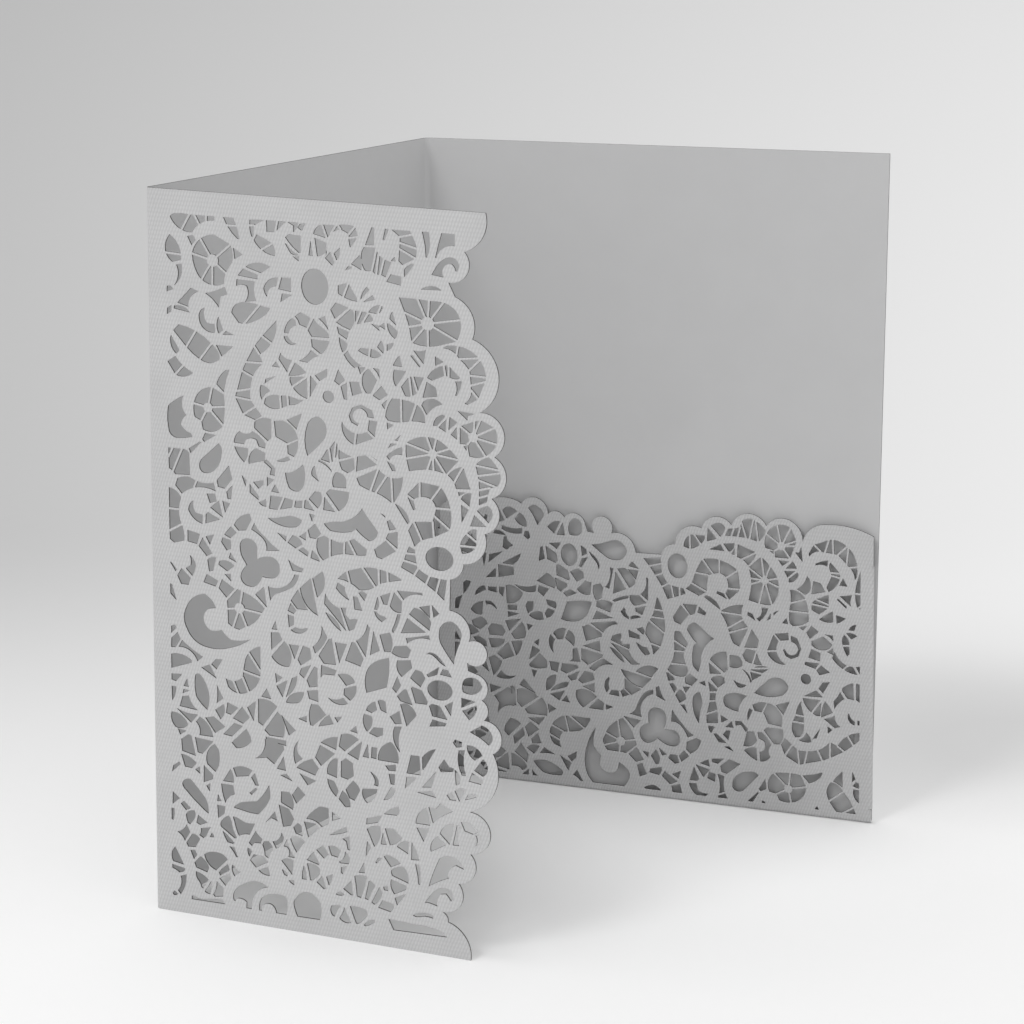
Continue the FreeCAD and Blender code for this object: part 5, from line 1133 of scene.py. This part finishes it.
    def flat_mesh(self) -> tuple[list[Vector], list[tuple[int, ...]]]:
        """The flat sheet as triangles, with the lace open.

        Returns:
            The points, and the faces that are paper.
        """
        blank, openings = self.blank(), self.openings()
        points: list[Vector] = []
        edges: list[tuple[int, int]] = []
        bits = [bit for opening in openings for bit in opening.left_in]
        for outline in [blank, *(opening.outline for opening in openings), *bits]:
            first, count = len(points), len(outline)
            points += [Vector(p) for p in outline]
            edges += [(first + k, first + (k + 1) % count) for k in range(count)]
        for line in self.crease_lines():
            edges.append((len(points), len(points) + 1))
            points += [Vector(p) for p in line]
        made = delaunay_2d_cdt(points, edges, [], WHOLE_HULL, WELD)
        corners = np.array([tuple(p) for p in made[0]])
        centres = corners[np.array(made[2])].mean(axis=1)
        paper = within(blank, centres)
        for opening in openings:
            open_here = within(opening.outline, centres)
            for bit in opening.left_in:
                open_here &= ~within(bit, centres)
            paper &= ~open_here
        return list(made[0]), [tuple(face) for face, kept in zip(made[2], paper) if kept]

    # -- folding --

    def along(self, x: float) -> Vector:
        """Where a point that lies x along the strip of panels stands, from the left fold's corner."""
        flap, middle, pocket = (heading(a) for a in (self.flap_angle, self.middle_angle, self.pocket_angle))
        past = x - self.middle_width
        if x <= -self.left_set:
            return flap * -x
        if x < self.left_set:
            centre = (flap + middle).normalized() * (self.left_radius / math.sin(self.left_half))
            turns = (self.flap_angle + 270, self.middle_angle + 90)
            return on_bend(centre, self.left_radius, turns, (x / self.left_set + 1) / 2)
        if past <= -self.back_set:
            return middle * x
        if past < self.back_set:
            reach = self.back_radius / math.sin(self.back_half)
            centre = self.back_corner + (pocket - middle).normalized() * reach
            turns = (self.middle_angle + 90, self.pocket_angle + 90)
            return on_bend(centre, self.back_radius, turns, (past / self.back_set + 1) / 2)
        return self.back_corner + pocket * past

    def on_pocket(self, s: float, y: float) -> tuple[float, float, float]:
        """Where a flat point below the pocket panel goes: its place along, in front of the panel, and up."""
        if y > -self.hem_rise:
            turn = math.pi * (self.hem_rise - y) / (2 * self.hem_rise)
            return s, self.hem - self.hem * math.cos(turn), self.hem_rise - self.hem * math.sin(turn)
        beside_tab = self.tab_high - self.slit / 2 < y < self.tab_low + self.slit / 2
        for side in Side:
            fold = self.pocket_edge(side, y) - side.value * self.tab_rise
            past = (s - fold) * side.value
            if beside_tab and past > 0:
                turn = math.pi * min(1.0, past / (2 * self.tab_rise))
                behind = max(0, past - 2 * self.tab_rise)
                along = fold + side.value * (self.tab_bend * math.sin(turn) - behind)
                depth = self.tab_offset + self.tab_bend * (1 + math.cos(turn))
                return along, depth, -y
        return s, self.pocket_offset, -y

    def folded(self, x: float, y: float) -> Vector:
        """Where a point of the flat sheet goes when the card is folded and stood up."""
        s = x - self.middle_width
        in_hem = y < self.hem_rise - TINY and s > self.pocket_start - self.slit / 2
        if in_hem or y < -self.hem_rise + TINY:
            s, depth, up = self.on_pocket(s, y)
            along = heading(self.pocket_angle)
            front = Vector((along.y, -along.x, 0.0))
            return self.back_corner + along * s + front * depth + Vector((0, 0, up))
        drop = self.flap_drop * max(0.0, -x) / self.flap_width * y / self.height
        return self.along(x) + Vector((0, 0, y - drop))

    def build(self, cad_box: tuple[Vector, Vector],
              materials: Iterable[bpy.types.Material]) -> bpy.types.Object:
        """Folds the pierced sheet, moves it onto the CAD solid and gives it its thickness.

        Args:
            cad_box: The solid's lowest and highest corners, in metres.
            materials: What its inner face, its outer face and its cut edges are made of.

        Returns:
            The finished piece.
        """
        flat, faces = self.flat_mesh()
        mesh = bpy.data.meshes.new("folded_card_paper")
        mesh.from_pydata([self.folded(p.x, p.y) * MM for p in flat], [], faces)
        layer = mesh.uv_layers.new(name="flat_sheet")
        for loop in mesh.loops:
            layer.data[loop.index].uv = flat[loop.vertex_index] * MM
        low_x, high_y = min(v.co.x for v in mesh.vertices), max(v.co.y for v in mesh.vertices)
        half = self.paper / 2 * MM
        shift = Vector((cad_box[0].x + half - low_x, cad_box[1].y - half - high_y, cad_box[0].z))
        mesh.transform(Matrix.Translation(shift))
        card = bpy.data.objects.new("folded_card_paper", mesh)
        bpy.context.scene.collection.objects.link(card)
        for material in materials:
            mesh.materials.append(material)
        keep_largest(mesh)
        add_modifier(card, "SOLIDIFY", thickness=self.paper * MM, offset=0.0, use_even_offset=True,
                     use_quality_normals=True, material_offset=1, material_offset_rim=2)
        return card


def keep_largest(mesh: bpy.types.Mesh) -> None:
    """Removes loose points and any chip of paper that the cuts free from the sheet."""
    work = bmesh.new()
    work.from_mesh(mesh)
    unseen = set(work.faces)
    islands: list[list[bmesh.types.BMFace]] = []
    while unseen:
        stack = [unseen.pop()]
        island = []
        while stack:
            face = stack.pop()
            island.append(face)
            for edge in face.edges:
                for other in edge.link_faces:
                    if other in unseen:
                        unseen.remove(other)
                        stack.append(other)
        islands.append(island)
    islands.sort(key=len, reverse=True)
    chips = [face for island in islands[1:] for face in island]
    LOG.info("flat sheet: %d faces, %d chips removed", len(islands[0]), len(islands) - 1)
    bmesh.ops.delete(work, geom=chips, context="FACES")
    bmesh.ops.delete(work, geom=[v for v in work.verts if not v.link_faces], context="VERTS")
    work.to_mesh(mesh)
    work.free()


def only(piece: bpy.types.Object) -> None:
    """Makes a piece the one selected and active object."""
    for other in bpy.context.view_layer.objects:
        other.select_set(False)
    piece.select_set(True)
    bpy.context.view_layer.objects.active = piece


def add_modifier(piece: bpy.types.Object, kind: str, **settings: float | int | bool | str) -> None:
    """Adds a modifier to a piece with the settings given and applies it.

    Args:
        piece: The piece to change.
        kind: The modifier's type.
        **settings: Its settings by name.
    """
    only(piece)
    modifier = piece.modifiers.new(kind.lower(), kind)
    for name, value in settings.items():
        setattr(modifier, name, value)
    bpy.ops.object.modifier_apply(modifier=modifier.name)


# ---------------------------------------------------------------------------------------------------------
# Finishes

Socket = bpy.types.NodeSocket
Value = float | tuple[float, ...] | Socket


class NodeBench:
    """A small workbench that adds and wires nodes in one tree."""

    def __init__(self, tree: bpy.types.NodeTree) -> None:
        """Opens a tree for wiring."""
        self.tree = tree

    def plug(self, socket: Socket, value: Value) -> None:
        """Wires a value into a socket, or sets the socket to it."""
        if isinstance(value, bpy.types.NodeSocket):
            self.tree.links.new(value, socket)
        else:
            socket.default_value = value

    def add(self, kind: str, inputs: dict[str | int, Value] | None = None,
            **settings: object) -> bpy.types.Node:
        """Adds a node.

        Args:
            kind: The node's type.
            inputs: Values or sockets for its inputs, by name or place.
            **settings: The node's own settings.

        Returns:
            The node.
        """
        node = self.tree.nodes.new(kind)
        for name, value in settings.items():
            setattr(node, name, value)
        for key, value in (inputs or {}).items():
            self.plug(node.inputs[key], value)
        return node

    def maths(self, operation: str, *values: Value) -> Socket:
        """Adds a maths node and returns its result."""
        return self.add("ShaderNodeMath", dict(enumerate(values)), operation=operation).outputs[0]

    def remap(self, value: Value, low: float, high: float, to_low: float, to_high: float) -> Socket:
        """Moves a value smoothly from one range to another, held at its ends."""
        inputs: dict[str | int, Value] = {"Value": value, "From Min": low, "From Max": high,
                                          "To Min": to_low, "To Max": to_high}
        node = self.add("ShaderNodeMapRange", inputs, interpolation_type="SMOOTHSTEP")
        return node.outputs["Result"]

    def blend(self, factor: Value, first: Value, second: Value) -> Socket:
        """Mixes two colours and returns the mixed colour."""
        node = self.add("ShaderNodeMix", {"Factor": factor}, data_type="RGBA")
        self.plug(next(s for s in node.inputs if s.identifier == "A_Color"), first)
        self.plug(next(s for s in node.inputs if s.identifier == "B_Color"), second)
        return next(s for s in node.outputs if s.identifier == "Result_Color")

    def noise(self, place: Socket, **settings: float) -> Socket:
        """Adds a noise texture with the settings given and returns its value, 0 to 1."""
        inputs: dict[str | int, Value] = {key.title(): value for key, value in settings.items()}
        return self.add("ShaderNodeTexNoise", {"Vector": place, **inputs}).outputs["Fac"]

    def bump(self, height: Value, strength: float, distance: float, normal: Socket | None = None) -> Socket:
        """Adds a bump over a normal and returns the bumped normal."""
        inputs: dict[str | int, Value] = {"Strength": strength, "Distance": distance, "Height": height}
        if normal is not None:
            inputs["Normal"] = normal
        return self.add("ShaderNodeBump", inputs).outputs[0]

    def finish(self, **inputs: Value) -> None:
        """Ends a material with a Principled shader; an input's name has _ for each space."""
        shader = self.add("ShaderNodeBsdfPrincipled", {k.replace("_", " "): v for k, v in inputs.items()})
        self.add("ShaderNodeOutputMaterial", {"Surface": shader.outputs[0]})


def new_group(name: str, outputs: Iterable[str]) -> tuple[NodeBench, Socket]:
    """Starts a node group of an effect that several finishes share, laid out on the flat sheet.

    Args:
        name: The group's name.
        outputs: The names of the values it gives.

    Returns:
        A bench on the group's tree, and its one input, Place, as a socket to wire from.
    """
    tree = bpy.data.node_groups.new(name, "ShaderNodeTree")
    tree.interface.new_socket("Place", in_out="INPUT", socket_type="NodeSocketVector")
    for label in outputs:
        tree.interface.new_socket(label, in_out="OUTPUT", socket_type="NodeSocketFloat")
    bench = NodeBench(tree)
    return bench, bench.add("NodeGroupInput").outputs["Place"]


@dataclass(frozen=True)
class PressedGrain:
    """The felt grain pressed into the face of the card: rows of short strokes that lean, slightly uneven."""

    stroke: float = 0.00077
    row: float = 0.00106
    """How far apart the strokes are along the sheet, and the rows up it."""
    leaning: float = 0.28
    crossing: float = 0.08
    rows: float = 0.14
    """How deep the leaning waves are, the waves that cross them, and the rows."""
    sway: float = 3.0
    sway_scale: float = 160.0
    unevenness: float = 0.3
    grit_scale: float = 1500.0

    def group(self) -> bpy.types.NodeTree:
        """Builds the grain as a group that takes Place and gives Height, 0 to 1."""
        bench, place = new_group("pressed_grain", ["Height"])
        parts = bench.add("ShaderNodeSeparateXYZ", {0: place})
        across = bench.maths("DIVIDE", bench.maths("MULTIPLY", parts.outputs["X"], 2 * math.pi), self.stroke)
        up = bench.maths("DIVIDE", bench.maths("MULTIPLY", parts.outputs["Y"], math.pi), self.row)
        wander = bench.noise(place, scale=self.sway_scale, detail=2.0)
        sway = bench.maths("MULTIPLY_ADD", wander, 2 * self.sway, -self.sway)
        leaning = bench.maths("COSINE", bench.maths("ADD", bench.maths("ADD", across, up), sway))
        crossing = bench.maths("COSINE", bench.maths("SUBTRACT", across, up))
        rows = bench.maths("COSINE", bench.maths("MULTIPLY", up, 2.0))
        waves = bench.maths("MULTIPLY_ADD", leaning, self.leaning,
                            bench.maths("MULTIPLY", crossing, self.crossing))
        waves = bench.maths("MULTIPLY_ADD", rows, self.rows, waves)
        grit = bench.maths("SUBTRACT", bench.noise(place, scale=self.grit_scale, detail=2.0), 0.5)
        height = bench.maths("ADD", bench.maths("ADD", waves, 0.5),
                             bench.maths("MULTIPLY", grit, self.unevenness))
        bench.add("NodeGroupOutput", {"Height": height})
        return bench.tree


@dataclass(frozen=True)
class PaperMottle:
    """The cloudy look of pulp, and its fibres."""

    cloud_scale: float = 60.0
    fibre_scale: float = 2200.0
    fibre_squeeze: float = 2.2
    """How much finer the fibres are up the sheet than along it."""

    def group(self) -> bpy.types.NodeTree:
        """Builds the mottle as a group that takes Place and gives Cloud and Fibre, both 0 to 1."""
        bench, place = new_group("paper_mottle", ["Cloud", "Fibre"])
        cloud = bench.noise(place, scale=self.cloud_scale, detail=5.0, roughness=0.6)
        stretched = bench.add("ShaderNodeMapping", {"Vector": place, "Scale": (1.0, self.fibre_squeeze, 1.0)})
        fibre = bench.noise(stretched.outputs[0], scale=self.fibre_scale, detail=3.0, roughness=0.7,
                            distortion=1.2)
        bench.add("NodeGroupOutput", {"Cloud": cloud, "Fibre": fibre})
        return bench.tree


def new_material(name: str) -> tuple[bpy.types.Material, NodeBench]:
    """Makes an empty node material and a bench on it."""
    material = bpy.data.materials.new(name)
    material.use_nodes = True
    material.node_tree.nodes.clear()
    return material, NodeBench(material.node_tree)


Colour = tuple[float, float, float, float]
MIDDLE_TONES = (0.3, 0.7)
"""The part of a noise's range that most of it lies in."""


def dimmed(colour: Colour, share: float) -> Colour:
    """A colour with its red, green and blue multiplied by a share."""
    return (colour[0] * share, colour[1] * share, colour[2] * share, 1.0)


@dataclass(frozen=True)
class CardFinish:
    """Grey card stock, with or without the grain pressed into it and painted shade in the grain's hollows."""

    name: str
    pale: Colour = (0.560, 0.560, 0.563, 1.0)
    deep: Colour = (0.545, 0.545, 0.548, 1.0)
    roughness: float = 0.62
    roughness_swing: tuple[float, float] = (-0.05, 0.06)
    emboss_and_shade: float = 0.0
    grain_shade_heights: tuple[float, float] = (0.1, 0.9)
    # How strongly the grain is pressed and its hollows painted with shade, and the heights where that painted
    # shade is full and ends.
    """How strongly the grain is pressed, and the heights of the grain that show as hollow and as face."""
    tooth: float = 0.10
    edge_round: float = 0.0003
    edge_samples: int = 4
    fibre_share: float = 0.35
    hollow_shade_tone: float = 0.75
    # How dark the painted shade in the grain's hollows is, as a share of the face's deep tone.
    """How deep the bottom of the grain looks beside the face's deep tone."""
    fibre_depth: float = 0.00005
    grain_depth: float = 0.00006

    def material(self, groups: dict[str, bpy.types.NodeTree]) -> bpy.types.Material:
        """Builds the material.

        Args:
            groups: The shared effects by name.

        Returns:
            The material, which follows the flat sheet.
        """
        material, bench = new_material(self.name)
        place = bench.add("ShaderNodeUVMap", uv_map="flat_sheet").outputs[0]
        mottle = bench.add("ShaderNodeGroup", node_tree=groups["mottle"])
        grain = bench.add("ShaderNodeGroup", node_tree=groups["grain"])
        bench.plug(mottle.inputs["Place"], place)
        bench.plug(grain.inputs["Place"], place)
        fibre, height = mottle.outputs["Fibre"], grain.outputs["Height"]
        tone = bench.maths("MULTIPLY_ADD", fibre, self.fibre_share,
                           bench.maths("MULTIPLY", mottle.outputs["Cloud"], 1 - self.fibre_share))
        colour = bench.blend(bench.remap(tone, *MIDDLE_TONES, 0.0, 1.0), self.pale, self.deep)
        # Painted shade: the grain's hollows are darkened in the colour, as if in their own shadow.
        hollow_shade = bench.remap(height, *self.grain_shade_heights, self.emboss_and_shade, 0.0)
        colour = bench.blend(hollow_shade, colour, dimmed(self.deep, self.hollow_shade_tone))
        rounded = bench.add("ShaderNodeBevel", {"Radius": self.edge_round},
                            samples=self.edge_samples).outputs[0]
        normal = bench.bump(fibre, self.tooth, self.fibre_depth, rounded)
        normal = bench.bump(height, self.emboss_and_shade, self.grain_depth, normal)
        rough = bench.remap(fibre, *MIDDLE_TONES, *(self.roughness + s for s in self.roughness_swing))
        bench.finish(Base_Color=colour, Roughness=rough, Specular_IOR_Level=0.3, Normal=normal)
        return material


@dataclass(frozen=True)
class TapeFinish:
    """Clear, slightly milky double-sided tape."""

    name: str = "double_sided_tape"
    colour: Colour = (0.74, 0.73, 0.69, 1.0)
    dull_share: float = 0.9
    """How light the film's duller patches are beside its colour."""
    roughness: float = 0.32
    roughness_swing: tuple[float, float] = (-0.06, 0.08)
    ripple_scale: float = 400.0
    ripple_tones: tuple[float, float] = (0.35, 0.65)
    ripple_strength: float = 0.2
    ripple_depth: float = 0.00005

    def material(self) -> bpy.types.Material:
        """Builds the material: a film with faint ripples over its adhesive."""
        material, bench = new_material(self.name)
        place = bench.add("ShaderNodeTexCoord").outputs["Object"]
        ripple = bench.noise(place, scale=self.ripple_scale, detail=3.0)
        patches = bench.remap(ripple, *self.ripple_tones, 0.0, 1.0)
        colour = bench.blend(patches, self.colour, dimmed(self.colour, self.dull_share))
        rough = bench.remap(ripple, *MIDDLE_TONES, *(self.roughness + s for s in self.roughness_swing))
        bench.finish(Base_Color=colour, Roughness=rough,
                     Normal=bench.bump(ripple, self.ripple_strength, self.ripple_depth))
        return material


# ---------------------------------------------------------------------------------------------------------
# The invitation


@dataclass
class PocketInvitation:
    """The folded card with its pocket, and the two strips of tape that hold the pocket shut."""

    sheet: FoldedSheet = field(default_factory=FoldedSheet)
    inner: CardFinish = CardFinish("smooth_card", emboss_and_shade=0.0)
    outer: CardFinish = CardFinish("grained_card", pale=(0.60, 0.60, 0.603, 1.0), emboss_and_shade=0.5)
    # The cut edges are near black: the laser's scorch, deepened with painted shade.
    cut: CardFinish = CardFinish("cut_edge", pale=(0.07, 0.068, 0.065, 1.0), deep=(0.03, 0.029, 0.027, 1.0),
                                 roughness=0.8)
    tape: TapeFinish = TapeFinish()
    smooth_below: float = 28.0
    """Faces that meet at less than this many degrees are shaded as one."""

    def build_card(self) -> bpy.types.Object:
        """Builds the folded card, dresses it and puts it in the place of the plain solid.

        Returns:
            The card.
        """
        groups = {"grain": PressedGrain().group(), "mottle": PaperMottle().group()}
        finishes = (self.inner, self.outer, self.cut)
        card = self.sheet.build(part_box("folded_card"), [finish.material(groups) for finish in finishes])
        only(card)
        bpy.ops.object.shade_smooth_by_angle(angle=math.radians(self.smooth_below))
        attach(card, "root")
        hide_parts("folded_card")
        LOG.info("folded card: %d vertices, %d faces", len(card.data.vertices), len(card.data.polygons))
        return card

    def dress_tape(self) -> None:
        """Gives the two tape strips their finish."""
        material = self.tape.material()
        for name in ("tape_left", "tape_right"):
            node = frame["nodes"][name]
            for slot in node.material_slots:
                slot.material = material
            LOG.info("%s: dressed, %d slots", name, len(node.material_slots))


# ---------------------------------------------------------------------------------------------------------
# The studio


@dataclass
class Studio:
    """A pale table, with painted light and shade on it, that runs off into a grey room, soft light from the
    front left, and the camera.
    """

    table_half: float = 7.0
    table_colour: Colour = (0.93, 0.93, 0.93, 1.0)
    table_roughness: tuple[float, float] = (0.85, 0.95)
    table_grain: float = 90.0
    room_left: Colour = (0.50, 0.50, 0.50, 1.0)
    room_right: Colour = (0.82, 0.82, 0.82, 1.0)
    table_painted_light: float = 0.115
    room_painted_light: tuple[float, float] = (0.02, 0.17)
    # Painted light that only the camera sees: the table's by the card, and far behind it at the left and at
    # the right.
    """The table's glow by the card, and far behind it at the left and at the right."""
    run_off: tuple[float, float] = (-0.08, 0.37)
    """Where along Y the table starts to turn to the room's tone, and where it has."""
    watch_point: tuple[float, float] = (-0.066, -0.70)
    sides: tuple[float, float] = (-0.30, 0.45)
    """The slopes, seen from the watch point, at which the room is at its left and its right tone."""
    painted_light_pools: tuple[tuple[float, float, float, float], ...] = (
        (0.05, 0.0, 0.07, 0.07), (-0.03, -0.02, 0.07, -0.12), (0.15, 0.09, 0.11, -0.14))
    # Round patches of painted light and painted shade on the table, seen only by the camera: x, y, reach and
    # strength.
    """Brighter and darker pools on the table: x, y, reach and strength."""
    fold: tuple[float, float] = (-0.094, -0.033)
    flap_front: tuple[float, float] = (0.4226, 0.9063)
    middle_front: tuple[float, float] = (0.826, -0.563)
    """Where the left fold stands, and the directions from the flap and the middle panel into it."""
    fold_shade: float = 0.24
    """How much the card darkens the table inside its left fold."""
    shade_end: tuple[float, float] = (-0.035, 0.0)
    shade_edge: float = 0.006
    """Where along X that shade starts to fade and is gone, and how soft it is beside the card."""
    world_strength: float = 0.745
    key_place: tuple[float, float, float] = (-3.2, -2.8, 3.9)
    key_aim: tuple[float, float, float] = (0.0, 0.0, 0.08)
    key_size: float = 1.9
    key_power: float = 81.0
    eye: tuple[float, float, float] = (-0.06569, -0.69824, 0.2593)
    lens: float = 100.125
    sensor: float = 36.0
    clip: tuple[float, float] = (0.01, 50.0)
    shift: tuple[float, float] = (0.2393, -0.1855)
    pitch: float = 9.705
    roll: float = 0.459

    def build_table(self) -> bpy.types.Object:
        bpy.ops.mesh.primitive_plane_add(size=2 * self.table_half)
        table = bpy.context.object
        table.name = table.data.name = "table"
        table.data.materials.append(self.table_material())
        LOG.info("table: %.1f m square", 2 * self.table_half)
        return table

    def table_material(self) -> bpy.types.Material:
        """Builds the table's material, which turns to the room's tones as it runs off behind the card and
        carries painted light and shade.
        """
        material, bench = new_material("pale_table")
        place = bench.add("ShaderNodeTexCoord").outputs["Object"]
        parts = bench.add("ShaderNodeSeparateXYZ", {0: place})
        x, y = parts.outputs["X"], parts.outputs["Y"]
        slope = bench.maths("DIVIDE", bench.maths("SUBTRACT", x, self.watch_point[0]),
                            bench.maths("SUBTRACT", y, self.watch_point[1]))
        fade = bench.remap(y, *self.run_off, 0.0, 1.0)
        room = bench.blend(bench.remap(slope, *self.sides, 0.0, 1.0), self.room_left, self.room_right)
        colour = bench.blend(fade, self.table_colour, room)
        colour = bench.blend(self.fold_shadow(bench, x, y), colour, (0.0, 0.0, 0.0, 1.0))
        grain = bench.noise(place, scale=self.table_grain, detail=4.0)
        rough = bench.remap(grain, *MIDDLE_TONES, *self.table_roughness)
        # Painted light: emission that only camera rays see brightens the table, most by the card and far off
        # at the right; the round patches add painted light, or take it away as painted shade.
        near = bench.maths("MULTIPLY", bench.maths("SUBTRACT", 1.0, fade), self.table_painted_light)
        far = bench.maths("MULTIPLY", fade, bench.remap(slope, *self.sides, *self.room_painted_light))
        painted_light = bench.maths("ADD", far, near)
        for pool_x, pool_y, reach, strength in self.painted_light_pools:
            away = bench.add("ShaderNodeVectorMath", {0: place, 1: (pool_x, pool_y, 0.0)},
                             operation="DISTANCE").outputs["Value"]
            painted_light = bench.maths("ADD", painted_light, bench.remap(away, 0.0, reach, strength, 0.0))
        seen = bench.add("ShaderNodeLightPath").outputs["Is Camera Ray"]
        strength = bench.maths("MULTIPLY", bench.maths("MAXIMUM", painted_light, 0.0), seen)
        bench.finish(Base_Color=colour, Roughness=rough, Specular_IOR_Level=0.1,
                     Emission_Color=(1.0, 1.0, 1.0, 1.0), Emission_Strength=strength)
        return material

    def fold_shadow(self, bench: NodeBench, x: Socket, y: Socket) -> Socket:
        """How much the card darkens the table, which it does only inside its left fold.

        Args:
            bench: The bench of the table's material.
            x: The place on the table along X.
            y: The place along Y.

        Returns:
            The darkening, 0 to fold_shade.
        """
        shade = bench.remap(x, *self.shade_end, self.fold_shade, 0.0)
        for front in (self.flap_front, self.middle_front):
            offset = -(front[0] * self.fold[0] + front[1] * self.fold[1])
            behind = bench.maths("ADD", bench.maths("MULTIPLY", x, front[0]),
                                 bench.maths("MULTIPLY_ADD", y, front[1], offset))
            shade = bench.maths("MULTIPLY", shade, bench.remap(behind, 0.0, self.shade_edge, 0.0, 1.0))
        return shade

    def light(self) -> None:
        """Sets the even light of the room and one large soft lamp."""
        scene = bpy.context.scene
        world = bpy.data.worlds.new("grey_room")
        scene.world = world
        world.use_nodes = True
        background = world.node_tree.nodes["Background"]
        background.inputs["Color"].default_value = (1.0, 1.0, 1.0, 1.0)
        background.inputs["Strength"].default_value = self.world_strength
        lamp = bpy.data.lights.new("soft_lamp", "AREA")
        lamp.shape = "DISK"
        lamp.size = self.key_size
        lamp.energy = self.key_power
        holder = bpy.data.objects.new("soft_lamp", lamp)
        scene.collection.objects.link(holder)
        holder.location = self.key_place
        aim = Vector(self.key_aim) - holder.location
        holder.rotation_euler = aim.to_track_quat("-Z", "Y").to_euler()
        scene.view_settings.view_transform = "Standard"

    def camera(self) -> None:
        """Sets the camera."""
        data = bpy.data.cameras.new("camera")
        data.lens = self.lens
        data.sensor_width = self.sensor
        data.shift_x, data.shift_y = self.shift
        data.clip_start, data.clip_end = self.clip
        camera = bpy.data.objects.new("camera", data)
        pitch, roll = math.radians(self.pitch), math.radians(self.roll)
        forward = Vector((0.0, math.cos(pitch), -math.sin(pitch)))
        right, up = Vector((1.0, 0.0, 0.0)), Vector((0.0, math.sin(pitch), math.cos(pitch)))
        turned_right = math.cos(roll) * right - math.sin(roll) * up
        turned_up = math.sin(roll) * right + math.cos(roll) * up
        camera.matrix_world = Matrix.Translation(self.eye) @ Matrix(
            (turned_right, turned_up, -forward)).transposed().to_4x4()
        bpy.context.scene.collection.objects.link(camera)
        bpy.context.scene.camera = camera


def main() -> None:
    """Builds the invitation and its studio."""
    invitation = PocketInvitation()
    invitation.build_card()
    invitation.dress_tape()
    studio = Studio()
    studio.build_table()
    studio.light()
    studio.camera()


if __name__ == "__main__":
    main()
